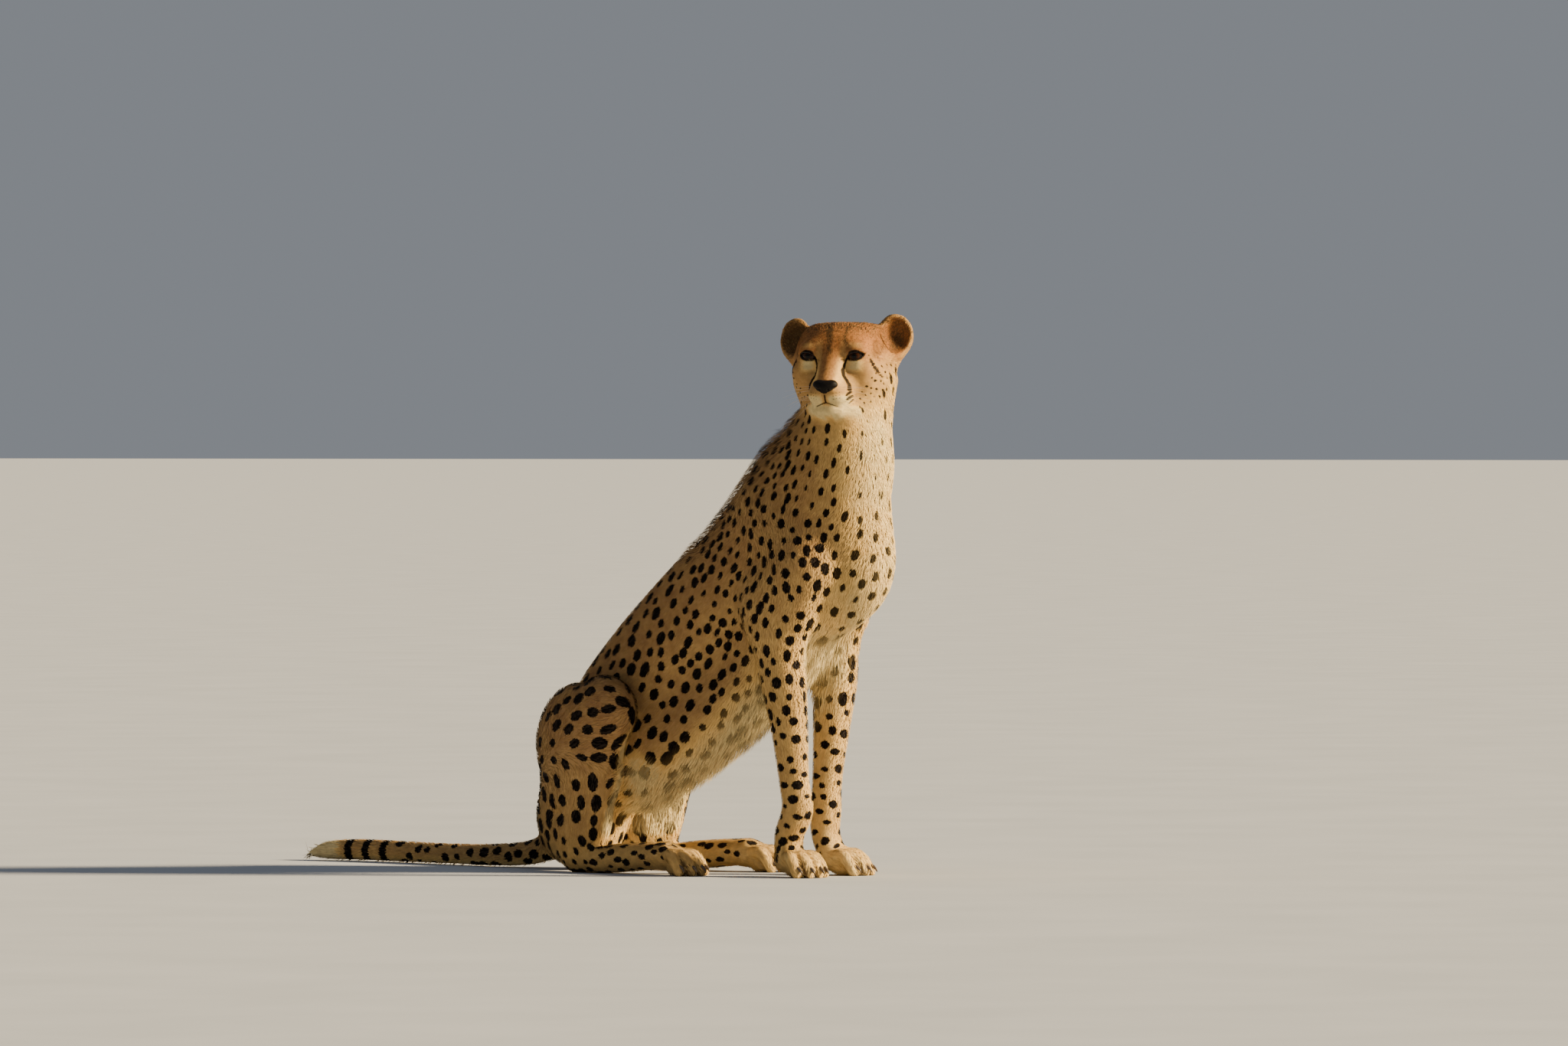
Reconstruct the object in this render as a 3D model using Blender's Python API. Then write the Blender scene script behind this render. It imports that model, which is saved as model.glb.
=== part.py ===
"""A cheetah sitting upright with its head turned to its right, as a still life-size model.

The body is one blended solid, worked out as the surface where a distance is nought. Thin walls then cut it into
its named parts. Eyes, nose and claws are solids of their own: eyes and nose sit in pockets in the head, and each
claw is joined to the toe it grows from.

The anatomy is written as (forward, left, up) in metres, from a point on the floor under the middle of the trunk.
The finished part faces -Y with its left side at +X, and stands on z = 0 round the middle of its own box.
"""
import bmesh
import bpy
import numpy as np

MM = 0.001
GAP = 0.0003                # clear space between neighbouring parts
TRIANGLES = 4300            # the whole body after thinning
EYE_RADIUS = 0.0170
FLOOR_DEPTH = 0.10          # how far the floor cutter reaches down

for thing in list(bpy.data.objects):
    bpy.data.objects.remove(thing, do_unlink=True)


# ---------------------------------------------------------------- blended solids

def smooth_min(a, b, k):
    """The lesser of a and b, rounded over within k of where they meet."""
    h = np.clip(0.5 + 0.5 * (b - a) / k, 0.0, 1.0)
    return b + (a - b) * h - k * h * (1.0 - h)


def through(stations, per_span):
    """Rows between the stations on a Catmull-Rom spline, per_span to a span."""
    s = np.asarray(stations, float)
    s = np.vstack([2 * s[0] - s[1], s, 2 * s[-1] - s[-2]])
    t = (np.arange(per_span) / per_span)[:, None]
    rows = []
    for a, b, c, d in zip(s[:-3], s[1:-2], s[2:-1], s[3:]):
        rows.append(0.5 * (2 * b + (c - a) * t + (2 * a - 5 * b + 4 * c - d) * t**2
                           + (3 * b - a - 3 * c + d) * t**3))
    return np.vstack(rows + [s[-2:-1]])


def ellipsoid_distance(u, v, w, ru, rv, rw):
    """About the distance from the surface of an ellipsoid with these radii."""
    a, b, c = u / ru, v / rv, w / rw
    reach = np.sqrt(a * a + b * b + c * c) + 1e-9
    slope = np.sqrt((a / ru) ** 2 + (b / rv) ** 2 + (c / rw) ** 2) + 1e-9
    return reach * (reach - 1.0) / slope


def unit(v):
    v = np.asarray(v, float)
    return v / np.linalg.norm(v, axis=-1, keepdims=True)


class Sweep:
    """A rounded tube through stations (forward, left, up, half width, half depth). side points along its width
    and may turn to side_end on the way. egg narrows the side the tube's own up points to."""

    def __init__(self, stations, side=(0, 1, 0), blend=0.02, per_span=4, egg=0.0, side_end=None):
        rows = through(stations, per_span)
        self.at, self.radii = rows[:, :3], rows[:, 3:5]
        self.blend, self.egg = blend, egg
        self.along = np.diff(self.at, axis=0)
        straight = unit(self.along)
        share = np.linspace(0, 1, len(self.along))[:, None]
        sides = np.asarray(side, float) * (1 - share) + np.asarray(side if side_end is None else side_end) * share
        sides = unit(sides - (sides * straight).sum(1)[:, None] * straight)
        ups = np.cross(straight, sides)
        self.sides, self.ups = [unit(np.vstack([r[:1], r[:-1] + r[1:], r[-1:]])) for r in (sides, ups)]
        reach = self.radii.max(1)[:, None]
        self.low, self.high = (self.at - reach).min(0), (self.at + reach).max(0)

    def distance(self, p):
        best, where = np.full(len(p), 1e9), np.zeros(len(p))
        for i, step in enumerate(self.along):
            rel = p - self.at[i]
            t = np.clip(rel @ step / (step @ step), 0, 1)
            rel -= t[:, None] * step
            d = np.einsum("ij,ij->i", rel, rel)
            closer = d < best
            best[closer], where[closer] = d[closer], i + t[closer]
        i = np.minimum(where.astype(int), len(self.along) - 1)
        t = (where - i)[:, None]
        at, radii, side, up = [r[i] + t * (r[i + 1] - r[i]) for r in (self.at, self.radii, self.sides, self.ups)]
        rel = p - at
        v = np.einsum("ij,ij->i", rel, up)
        wide, deep = radii[:, 0], radii[:, 1]
        wide = wide * (1 + self.egg * np.clip(v / deep, -1, 1))
        return ellipsoid_distance(np.einsum("ij,ij->i", rel, side), v,
                                  np.einsum("ij,ij->i", rel, np.cross(side, up)), wide, deep, 0.5 * (wide + deep))


class Ball:
    """An ellipsoid. axes holds the directions of its radii as rows."""

    def __init__(self, centre, radii, axes=np.eye(3), blend=0.02):
        self.centre, self.r, self.axes = np.asarray(centre, float), np.asarray(radii, float), np.asarray(axes, float)
        self.blend = blend
        reach = np.sqrt(((self.axes * self.r[:, None]) ** 2).sum(0))
        self.low, self.high = self.centre - reach, self.centre + reach

    def distance(self, p):
        u, v, w = ((p - self.centre) @ self.axes.T).T
        return ellipsoid_distance(u, v, w, *self.r)


def near_shape(shape, p, margin):
    return ((p > shape.low - margin) & (p < shape.high + margin)).all(1)


def joined(shapes, p, margin=0.05):
    """The blended distance from several shapes. Each is worked out only near itself."""
    total = np.full(len(p), 1.0)
    for shape in shapes:
        near = near_shape(shape, p, margin)
        total[near] = smooth_min(total[near], shape.distance(p[near]), shape.blend)
    return total


def carved(total, shapes, p, margin=0.03):
    """total with the shapes taken out of it."""
    for shape in shapes:
        near = near_shape(shape, p, margin)
        total[near] = -smooth_min(-total[near], shape.distance(p[near]), shape.blend)
    return total


# ---------------------------------------------------------------- trunk, neck and tail

def trunk():
    back = [                # forward, left, up, half width, half depth
        (-0.282, 0, 0.085, 0.066, 0.086),
        (-0.262, 0, 0.165, 0.086, 0.098),
        (-0.190, 0, 0.270, 0.086, 0.117),
        (-0.098, 0, 0.362, 0.084, 0.127),
        (0.002, 0, 0.448, 0.090, 0.132),
        (0.108, 0, 0.535, 0.096, 0.136),
        (0.193, 0, 0.620, 0.094, 0.143),
        (0.250, 0, 0.700, 0.086, 0.139),
        (0.285, 0, 0.754, 0.075, 0.118),
    ]
    under = [
        (0.240, 0, 0.488, 0.066, 0.074),
        (0.158, 0, 0.388, 0.078, 0.076),
        (0.062, 0, 0.309, 0.084, 0.078),
        (-0.035, 0, 0.248, 0.086, 0.080),
        (-0.130, 0, 0.198, 0.084, 0.085),
    ]
    breast = Ball((0.313, 0, 0.577), (0.100, 0.078, 0.122), blend=0.06)
    return [Sweep(back, egg=-0.10), Sweep(under, blend=0.05), breast]


HEAD_TURN = np.radians(70)                      # how far the head looks to the right of the body
HEAD_AT = np.array([0.337, -0.0725, 0.9435])     # midway between the eyes
HEAD_AXES = np.array([[np.cos(HEAD_TURN), -np.sin(HEAD_TURN), 0], [np.sin(HEAD_TURN), np.cos(HEAD_TURN), 0],
                      [0, 0, 1]])               # the head's own forward, left and up


def neck():
    rows = [
        (0.240, 0.000, 0.630, 0.088, 0.115),
        (0.290, 0.000, 0.715, 0.085, 0.105),
        (0.312, 0.004, 0.790, 0.081, 0.090),
        (0.317, 0.008, 0.850, 0.081, 0.078),
        (0.315, 0.010, 0.896, 0.089, 0.074),
        (0.312, 0.010, 0.918, 0.086, 0.064),
    ]
    return [Sweep(rows, blend=0.04, side_end=HEAD_AXES[1], per_span=8)]


def tail():
    rows = [
        (-0.300, 0.000, 0.085, 0.040, 0.040),
        (-0.345, 0.000, 0.050, 0.030, 0.030),
        (-0.400, 0.002, 0.028, 0.025, 0.025),
        (-0.500, 0.012, 0.021, 0.0225, 0.0225),
        (-0.620, 0.035, 0.020, 0.021, 0.021),
        (-0.740, 0.062, 0.020, 0.0215, 0.0215),
        (-0.850, 0.075, 0.021, 0.023, 0.022),
        (-0.930, 0.072, 0.019, 0.021, 0.020),
        (-0.965, 0.068, 0.014, 0.012, 0.012),
    ]
    return [Sweep(rows, blend=0.03)]


# ---------------------------------------------------------------- head, in its own millimetres (forward, left, up)

def head_point(x, y, z):
    return HEAD_AT + MM * np.array([x, y, z]) @ HEAD_AXES


def head_axes(turn=0.0, tilt=0.0):
    """Three directions in the body's frame: the first swings turn degrees outward and is raised by tilt."""
    t, e = np.radians(turn), np.radians(tilt)
    first = np.array([np.cos(t) * np.cos(e), np.sin(t) * np.cos(e), np.sin(e)])
    second = np.array([-np.sin(t), np.cos(t), 0.0])
    return np.stack([first, second, np.cross(first, second)]) @ HEAD_AXES


def head_ball(x, y, z, rx, ry, rz, blend=12, turn=0.0, tilt=0.0):
    return Ball(head_point(x, y, z), MM * np.array([rx, ry, rz]), head_axes(turn, tilt), MM * blend)


def head_sweep(rows, blend):
    return Sweep([[*head_point(x, y, z), w * MM, d * MM] for x, y, z, w, d in rows], HEAD_AXES[1], MM * blend)


def head():
    shapes = [head_ball(-75, s * 24, -6, 78, 61, 66, 20) for s in (1, -1)]
    shapes += [
        head_sweep([(-50, 0, 2, 48, 48), (-30, 0, -2, 42, 42), (-5, 0, -19, 31, 31), (16, 0, -38, 25, 26),
                    (33, 0, -54, 21, 22)], 20),
        head_sweep([(-34, 0, -62, 50, 36), (-5, 0, -66, 40, 31), (18, 0, -68, 31, 26)], 16),
    ]
    for s in (1, -1):
        shapes += [
            head_ball(-48, s * 48, -40, 52, 37, 44, 22, turn=s * -14),       # cheek
            head_ball(-82, s * 50, 16, 44, 34, 40, 16),                      # corner of the crown
            head_ball(22, s * 17, -70, 31, 21, 19, 9, turn=s * -12),         # upper lip
            head_ball(-15, s * 36, 11, 19, 28, 15, 20, turn=s * -25),        # brow
            head_ball(-20, s * 46, -27, 23, 28, 21, 24, turn=s * -30),       # under the eye
            head_ball(-3, s * 28, -52, 26, 15, 19, 14, turn=s * -20),        # side of the muzzle
            head_sweep([(14, s * 14, -98, 14, 12), (-22, s * 36, -90, 17, 18), (-62, s * 56, -68, 22, 30)], 14),
        ]
    shapes += [head_sweep([(-8, 0, -92, 30, 18), (-24, 2, -122, 42, 28), (-48, 0, -160, 48, 40)], 25),   # throat
               head_ball(-112, 0, -38, 40, 62, 52, 25)]                     # back of the head
    return shapes + [head_ball(15, 0, -97, 26, 26, 15, 12)]                  # chin


EAR_LIFT = {1: 3, -1: -4}       # the left ear is carried a little higher


def ears():
    shapes, hollows = [], []
    for s, lift in EAR_LIFT.items():
        lean = 0 if s > 0 else -3
        shapes.append(head_ball(-92, s * 78, 9 + lift, 25, 30, 36, 18, turn=s * 24))
        shapes.append(head_ball(-94, s * 92 + lean, 34 + lift, 17, 34, 40, 12, turn=s * 24, tilt=6))
        hollows.append(head_ball(-78, s * 98 + lean, 36 + lift, 20, 27, 32, 5, turn=s * 24, tilt=6))
    return shapes, hollows


# ---------------------------------------------------------------- legs: s is 1 for the left one and -1 for the right

def paw_frame(s, place, toe_out):
    """Where a paw stands, and its own forward and left."""
    a = np.radians(toe_out) * s
    return np.array([place[0], s * place[1], 0.0]), np.array([np.cos(a), np.sin(a), 0]), np.array([-np.sin(a), np.cos(a), 0])


TOES = ((-0.0265, -0.012), (-0.0095, 0.0), (0.0095, 0.0), (0.0265, -0.012))     # sideways, how far back


def foot(s, place, toe_out):
    base, f, l = paw_frame(s, place, toe_out)

    def at(x, y, z, r):
        return (*(base + x * f + y * l + [0, 0, z]), r, r * 0.95)
    shapes = [Sweep([at(-.012, 0, .030, .024), at(.014, 0, .028, .027), at(.028, 0, .024, .024)], l, .012)]
    for y, back in TOES:
        rows = [at(.012 + back * .3, y * .75, .036, .013), at(.036 + back * .7, y, .037, .0135),
                at(.054 + back, y * 1.12, .025, .0130), at(.065 + back, y * 1.15, .0085, .0120)]
        shapes.append(Sweep(rows, l, .004, per_span=3))
    return shapes + [Ball(base + .018 * f + [0, 0, .011], (.021, .024, .015), np.stack([f, l, np.eye(3)[2]]), .008)]


def foreleg(s, elbow, wrist, place, toe_out):
    def at(p, wide, deep):
        return (p[0], s * p[1], p[2], wide, deep)
    e, w, q = np.array(elbow), np.array(wrist), np.array([*place, 0.0])
    blade, shoulder = np.array((0.150, 0.050, 0.665)), np.array((0.275, 0.080, 0.560))
    shapes = [
        Sweep([at(blade, .030, .060), at((0.215, 0.068, 0.625), .036, .066), at(shoulder, .042, .056)], blend=.05),
        Sweep([at(shoulder, .042, .056), at((shoulder + e) / 2 + [-.012, 0, 0], .047, .066),
               at(e + [0, 0, .03], .042, .052)], blend=.04),
        Ball(at(e + [-.03, 0, .085], 0, 0)[:3], (.05, .038, .07), blend=.03),
        Sweep([at(e + [0, 0, .03], .040, .046), at(e + (w - e) * .15 + [.004, .002, 0], .040, .045),
               at(e + (w - e) * .45 + [.004, 0, 0], .033, .037), at(e + (w - e) * .8, .027, .029), at(w, .028, .030),
               at(w * .45 + q * .55 + [-.012, 0, .02], .028, .027), at(q + [-.005, 0, .035], .030, .024)]),
    ]
    return shapes + foot(s, place, toe_out)


def hindleg(s, heel, place, toe_out):
    def at(p, wide, deep):
        return (p[0], s * p[1], p[2], wide, deep)
    h, k = np.array((-0.215, 0.095, 0.216)), np.array((-0.135, 0.122, 0.298))
    c, q = np.array([*heel, 0.0]), np.array([*place, 0.0])
    u = unit(q - c)
    shapes = [
        Ball(at(h, 0, 0)[:3], (.085, .058, .128), blend=.04),
        Sweep([at(h, .052, .100), at((h + k) / 2 + [-.006, .008, .006], .054, .092), at(k, .044, .060)], blend=.03),
        Ball(at(k + [-.002, .002, .002], 0, 0)[:3], (.052, .044, .058), blend=.03),
        Sweep([at(k, .036, .046), at(k * .72 + c * .28 + [-.024, 0, 0], .038, .060),
               at(k * .4 + c * .6 + [-.018, 0, 0], .034, .054), at(c + [-.004, 0, .040], .028, .040)], blend=.03),
        Ball(at(h + [-.025, -.012, -.112], 0, 0)[:3], (.078, .052, .096), blend=.03),
        Sweep([at(c + [-.006, 0, .024], .021, .027), at(c + u * .05 + [0, 0, .024], .025, .027),
               at(c + u * .11 + [0, 0, .029], .026, .028), at(q + [-.012, 0, .036], .030, .026)], blend=.012),
    ]
    return shapes + foot(s, place, toe_out)


FOREPAWS = {-1: ((0.238, 0.060), 16), 1: ((0.244, 0.066), 8)}       # side: (place forward and out, toes out)
HINDPAWS = {-1: ((0.010, 0.118), 12), 1: ((0.030, 0.108), 6)}
EAR_SHAPES, EAR_HOLLOWS = ears()
GROUPS = [
    (trunk() + neck() + head() + EAR_SHAPES + tail(), 1.0),
    (foreleg(-1, (0.228, 0.086, 0.405), (0.252, 0.062, 0.122), *FOREPAWS[-1]), 0.03),
    (foreleg(1, (0.226, 0.086, 0.405), (0.226, 0.062, 0.122), *FOREPAWS[1]), 0.03),
    (hindleg(-1, (-0.205, 0.112), *HINDPAWS[-1]), 0.012),
    (hindleg(1, (-0.190, 0.110), *HINDPAWS[1]), 0.012),
]


def body(p):
    """How far p lies outside the coat, less than nought within it."""
    total = np.full(len(p), 1.0)
    for shapes, blend in GROUPS:
        d = joined(shapes, p)
        total = np.minimum(total, d) if blend == 1.0 else smooth_min(total, d, blend)
    return carved(total, EAR_HOLLOWS, p)


# ---------------------------------------------------------------- the surface of a solid, as a net of quads

def sampled(field, axes, coarse=4, reach=1.4):
    """field on the grid of these axes. Cells far from the surface take the nearest coarse value."""
    picks = [np.unique(np.r_[np.arange(0, len(a), coarse), len(a) - 1]) for a in axes]
    rough_at = np.stack(np.meshgrid(*[a[i] for a, i in zip(axes, picks)], indexing="ij"), -1)
    rough = field(rough_at.reshape(-1, 3)).reshape(rough_at.shape[:3])
    cell = np.meshgrid(*[np.diff(a[i]) for a, i in zip(axes, picks)], indexing="ij")
    size = np.sqrt(sum(c * c for c in cell))
    least = np.full(size.shape, 1e9)
    n = np.array(rough.shape)
    for dx, dy, dz in np.ndindex(2, 2, 2):
        part = rough[dx:n[0] - 1 + dx, dy:n[1] - 1 + dy, dz:n[2] - 1 + dz]
        least = np.minimum(least, np.abs(part))
    hot = least < reach * size
    wanted = np.zeros([len(a) for a in axes], bool)
    for i, j, k in np.argwhere(hot):
        wanted[picks[0][i]:picks[0][i + 1] + 1, picks[1][j]:picks[1][j + 1] + 1,
               picks[2][k]:picks[2][k + 1] + 1] = True
    near = [np.clip(np.searchsorted(i, np.arange(len(a))), 0, len(i) - 1) for a, i in zip(axes, picks)]
    values = rough[np.ix_(*near)]
    at = np.argwhere(wanted)
    values[wanted] = field(np.stack([axes[k][at[:, k]] for k in range(3)], 1))
    return values


def one_skinned(values):
    """values with every cell filled where two skins would meet at an edge or a corner."""
    values = values.copy()
    n = np.array(values.shape) - 1

    def window(i, j, k):
        return tuple(slice(a, m + a) for a, m in zip((i, j, k), n))
    corners = list(np.ndindex(2, 2, 2))
    while True:
        inside = values < 0
        meets = np.zeros(n, bool)
        for axis in range(3):
            for level in (0, 1):
                a, b, c, d = [inside[window(*np.insert(q, axis, level))] for q in ((0, 0), (0, 1), (1, 1), (1, 0))]
                meets |= (a == c) & (b == d) & (a != b)
        count = sum(inside[window(*q)].astype(int) for q in corners)
        for q in corners[:4]:
            a, b = inside[window(*q)], inside[window(*(1 - np.array(q)))]
            meets |= (count == 2) & a & b | (count == 6) & ~a & ~b
        if not meets.any():
            return values
        for q in corners:
            part = values[window(*q)]
            part[meets & (part >= 0)] = -1e-5


def surface_net(values, axes):
    """Corners and quads of the closed net where values changes sign: a corner in each crossed cell, at the mean of
    its edges' crossings, and a quad round each crossed edge, facing out."""
    inside = values < 0
    n = np.array(values.shape) - 1
    count = sum(inside[i:n[0] + i, j:n[1] + j, k:n[2] + k].astype(int) for i, j, k in np.ndindex(2, 2, 2))
    active = (count > 0) & (count < 8)
    cells = np.argwhere(active)
    index = np.full(n, -1)
    index[active] = np.arange(len(cells))
    total, crossings = np.zeros((len(cells), 3)), np.zeros(len(cells))
    quads = []
    for axis in range(3):
        for a, b in np.ndindex(2, 2):
            i0, i1 = cells + np.insert([a, b], axis, 0), cells + np.insert([a, b], axis, 1)
            f0, f1 = values[tuple(i0.T)], values[tuple(i1.T)]
            cross = (f0 < 0) != (f1 < 0)
            t = np.where(cross, f0 / np.where(cross, f0 - f1, 1), 0)[:, None]
            p0, p1 = [np.stack([axes[k][i[:, k]] for k in range(3)], 1) for i in (i0, i1)]
            total += np.where(cross[:, None], p0 + t * (p1 - p0), 0)
            crossings += cross
        b, c = [(1, 2), (2, 0), (0, 1)][axis]
        change = np.diff(inside.astype(int), axis=axis) != 0
        e = np.argwhere(change)
        e = e[(e[:, b] > 0) & (e[:, c] > 0) & (e[:, b] < n[b]) & (e[:, c] < n[c])]
        back_b, back_c = np.eye(3, dtype=int)[b], np.eye(3, dtype=int)[c]
        q = np.stack([index[tuple((e - back).T)] for back in (back_b + back_c, back_c, 0 * back_b, back_b)], 1)
        q[~inside[tuple(e.T)]] = q[~inside[tuple(e.T)]][:, ::-1]
        quads.append(q)
    return total / crossings[:, None], np.vstack(quads)


def stretch(*spans):
    """Grid places from spans (start, end, step), each starting where the last ended."""
    return np.unique(np.concatenate([np.linspace(a, b, 1 + int(round((b - a) / s))) for a, b, s in spans]))


def new_object(name, places, faces):
    """A mesh object. Its places are (forward, left, up) and its frame is the finished part's: left, back, up."""
    mesh = bpy.data.meshes.new(name)
    p = np.asarray(places, float)
    mesh.from_pydata(np.stack([p[:, 1], -p[:, 0], p[:, 2]], 1).tolist(), [], [list(map(int, f)) for f in faces])
    mesh.update()
    made = bpy.data.objects.new(name, mesh)
    bpy.context.scene.collection.objects.link(made)
    return made


# ---------------------------------------------------------------- cutting, joining and sorting

def settle(owner, kind, **settings):
    """Put one modifier on owner and keep its result."""
    m = owner.modifiers.new(kind.title(), kind)
    for key, value in settings.items():
        setattr(m, key, value)
    bpy.context.view_layer.update()
    done = bpy.data.meshes.new_from_object(owner.evaluated_get(bpy.context.evaluated_depsgraph_get()))
    owner.modifiers.clear()
    old, owner.data = owner.data, done
    bpy.data.meshes.remove(old)


def boolean(owner, other, operation):
    other.hide_render = True
    other.display_type = "WIRE"
    settle(owner, "BOOLEAN", operation=operation, solver="EXACT", object=other)
    bpy.data.objects.remove(other, do_unlink=True)


def outlined(points, grow):
    """A convex polygon's corners, counter-clockwise, moved out by grow."""
    p = np.asarray(points, float)
    ahead = unit(np.roll(p, -1, 0) - p)
    out = np.stack([ahead[:, 1], -ahead[:, 0]], 1)
    before = np.roll(out, 1, 0)
    return p + grow * (out + before) / (1 + (out * before).sum(1))[:, None]


def prism(outline, low, high, place):
    """Places and faces of a prism on a counter-clockwise outline from low to high. place(u, v, w) gives the body's
    frame."""
    n = len(outline)
    points = [place(u, v, w) for w in (low, high) for u, v in outline]
    faces = [list(range(n))[::-1], list(range(n, 2 * n))]
    faces += [[i, (i + 1) % n, n + (i + 1) % n, n + i] for i in range(n)]
    return points, faces


def facing_out(places, faces):
    """The faces, turned over if the solid they close would be inside out."""
    p = np.asarray(places, float)
    size = 0.0
    for f in faces:
        for i in range(1, len(f) - 1):
            size += np.dot(p[f[0]], np.cross(p[f[i]], p[f[i + 1]]))
    return faces if size > 0 else [list(f)[::-1] for f in faces]


def panel_wall(s, outline, inner, outer=0.30):
    """A closed skin GAP thick round a prism on one side of the body: outline is (forward, up), from inner to outer
    in the sideways direction."""
    places, faces = [], []
    for grow, turned in ((GAP / 2, False), (-GAP / 2, True)):
        made, sides = prism(outlined(outline, grow), inner - grow, outer + grow, lambda f, z, l: (f, s * l, z))
        sides = facing_out(made, sides)
        faces += [[i + len(places) for i in (f[::-1] if turned else f)] for f in sides]
        places += made
    return new_object("wall", places, faces)


def slab(centre, normal, across, reach_a, reach_b):
    """A flat wall GAP thick at centre, reach_a to each side along across and reach_b the other way."""
    n, a = unit(normal), unit(across)
    a = unit(a - (a @ n) * n)
    b = np.cross(n, a)
    corners = [(-reach_a, -reach_b), (reach_a, -reach_b), (reach_a, reach_b), (-reach_a, reach_b)]
    places, faces = prism(corners, -GAP / 2, GAP / 2, lambda u, v, w: np.asarray(centre) + u * a + v * b + w * n)
    return new_object("wall", places, facing_out(places, faces))


def loose_parts(owner):
    """owner taken apart into its closed pieces, largest first."""
    bm = bmesh.new()
    bm.from_mesh(owner.data)
    bm.verts.ensure_lookup_table()
    seen, groups = set(), []
    for start in bm.verts:
        if start in seen:
            continue
        group, stack = [], [start]
        seen.add(start)
        while stack:
            v = stack.pop()
            group.append(v)
            for edge in v.link_edges:
                other = edge.other_vert(v)
                if other not in seen:
                    seen.add(other)
                    stack.append(other)
        groups.append(group)
    pieces = []
    for group in sorted(groups, key=len, reverse=True):
        place = {v: i for i, v in enumerate(group)}
        faces = {f for v in group for f in v.link_faces}
        at = np.array([v.co for v in group])
        faces = sorted(faces, key=lambda f: f.index)
        pieces.append(new_object("piece", np.stack([-at[:, 1], at[:, 0], at[:, 2]], 1),
                                 [[place[v] for v in f.verts] for f in faces]))
    bm.free()
    bpy.data.objects.remove(owner, do_unlink=True)
    return pieces


def middle(piece):
    """The middle of a piece's box, as (forward, left, up)."""
    at = np.array([v.co for v in piece.data.vertices])
    x, y, z = (at.min(0) + at.max(0)) / 2
    return np.array([-y, x, z])


def nearest(pieces, place):
    return min(pieces, key=lambda piece: np.linalg.norm(middle(piece) - place))


# ---------------------------------------------------------------- the whole body, standing on its flats

axes = [
    stretch((-1.000, -0.345, 0.0090), (-0.345, -0.045, 0.0105), (-0.045, 0.110, 0.0065), (0.110, 0.460, 0.0062)),
    stretch((-0.195, 0.195, 0.0065)),
    stretch((-0.024, 0.072, 0.0060), (0.072, 0.790, 0.0105), (0.790, 1.050, 0.0058)),
]
whole = new_object("whole", *surface_net(one_skinned(sampled(body, axes)), axes))
triangle_count = 2 * len(whole.data.polygons)
settle(whole, "TRIANGULATE")
settle(whole, "DECIMATE", ratio=TRIANGLES / triangle_count)
floor = new_object("floor", *prism([(-1.2, -0.5), (0.8, -0.5), (0.8, 0.5), (-1.2, 0.5)], -FLOOR_DEPTH, 0.0,
                                   lambda u, v, w: (u, v, w)))
boolean(whole, floor, "DIFFERENCE")

# ---------------------------------------------------------------- the limbs come off first, then the trunk is cut

ARM_OUTLINE = [(.160, .315), (.298, .315), (.330, .50), (.322, .60), (.250, .672), (.165, .672), (.120, .60),
               (.130, .47)]
LEG_OUTLINE = [(-.340, -.02), (-.145, -.02), (-.075, .22), (-.066, .32), (-.100, .368), (-.19, .380), (-.28, .330),
               (-.334, .23)]
for s in (1, -1):
    boolean(whole, panel_wall(s, ARM_OUTLINE, 0.040), "DIFFERENCE")
    boolean(whole, panel_wall(s, LEG_OUTLINE, 0.055), "DIFFERENCE")
    lift = EAR_LIFT[s]
    boolean(whole, slab(head_point(-92, s * 81, 26 + lift), np.array([0, s * .877, .48]) @ HEAD_AXES, HEAD_AXES[0],
                        .060, .062), "DIFFERENCE")
HEAD_WALL_SLOPE = np.array([58, 0, 170]) @ HEAD_AXES
boolean(whole, slab(head_point(-75, 0, -89), HEAD_WALL_SLOPE, HEAD_AXES[1], 0.130, 0.125), "DIFFERENCE")
pieces = loose_parts(whole)

PLACES = {
    "head": (0.31, 0.01, 0.93), "ear_left": head_point(-94, 100, 36), "ear_right": head_point(-94, -100, 32),
    "trunk": (-0.3, 0, 0.43),
    "upper_arm_left": (0.225, 0.085, 0.50), "upper_arm_right": (0.225, -0.085, 0.50),
    "foreleg_left": (0.235, 0.075, 0.17), "foreleg_right": (0.235, -0.075, 0.17),
    "leg_left": (-0.20, 0.11, 0.19), "leg_right": (-0.20, -0.11, 0.19),
    "hindfoot_left": (-0.02, 0.11, 0.03), "hindfoot_right": (-0.03, -0.11, 0.03),
}
named = {name: nearest(pieces, place) for name, place in PLACES.items()}
assert len(pieces) == len(PLACES) and len(set(named.values())) == len(PLACES), [tuple(middle(p).round(2)) for p in pieces]


def split(name, wall, names):
    """Cut the part called name in two, and call the two pieces names, in order of (place, name)."""
    owner = named.pop(name)
    boolean(owner, wall, "DIFFERENCE")
    parts = loose_parts(owner)
    assert len(parts) == len(names), (name, [middle(p) for p in parts])
    for new_name, place in names.items():
        named[new_name] = nearest(parts, place)


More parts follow.
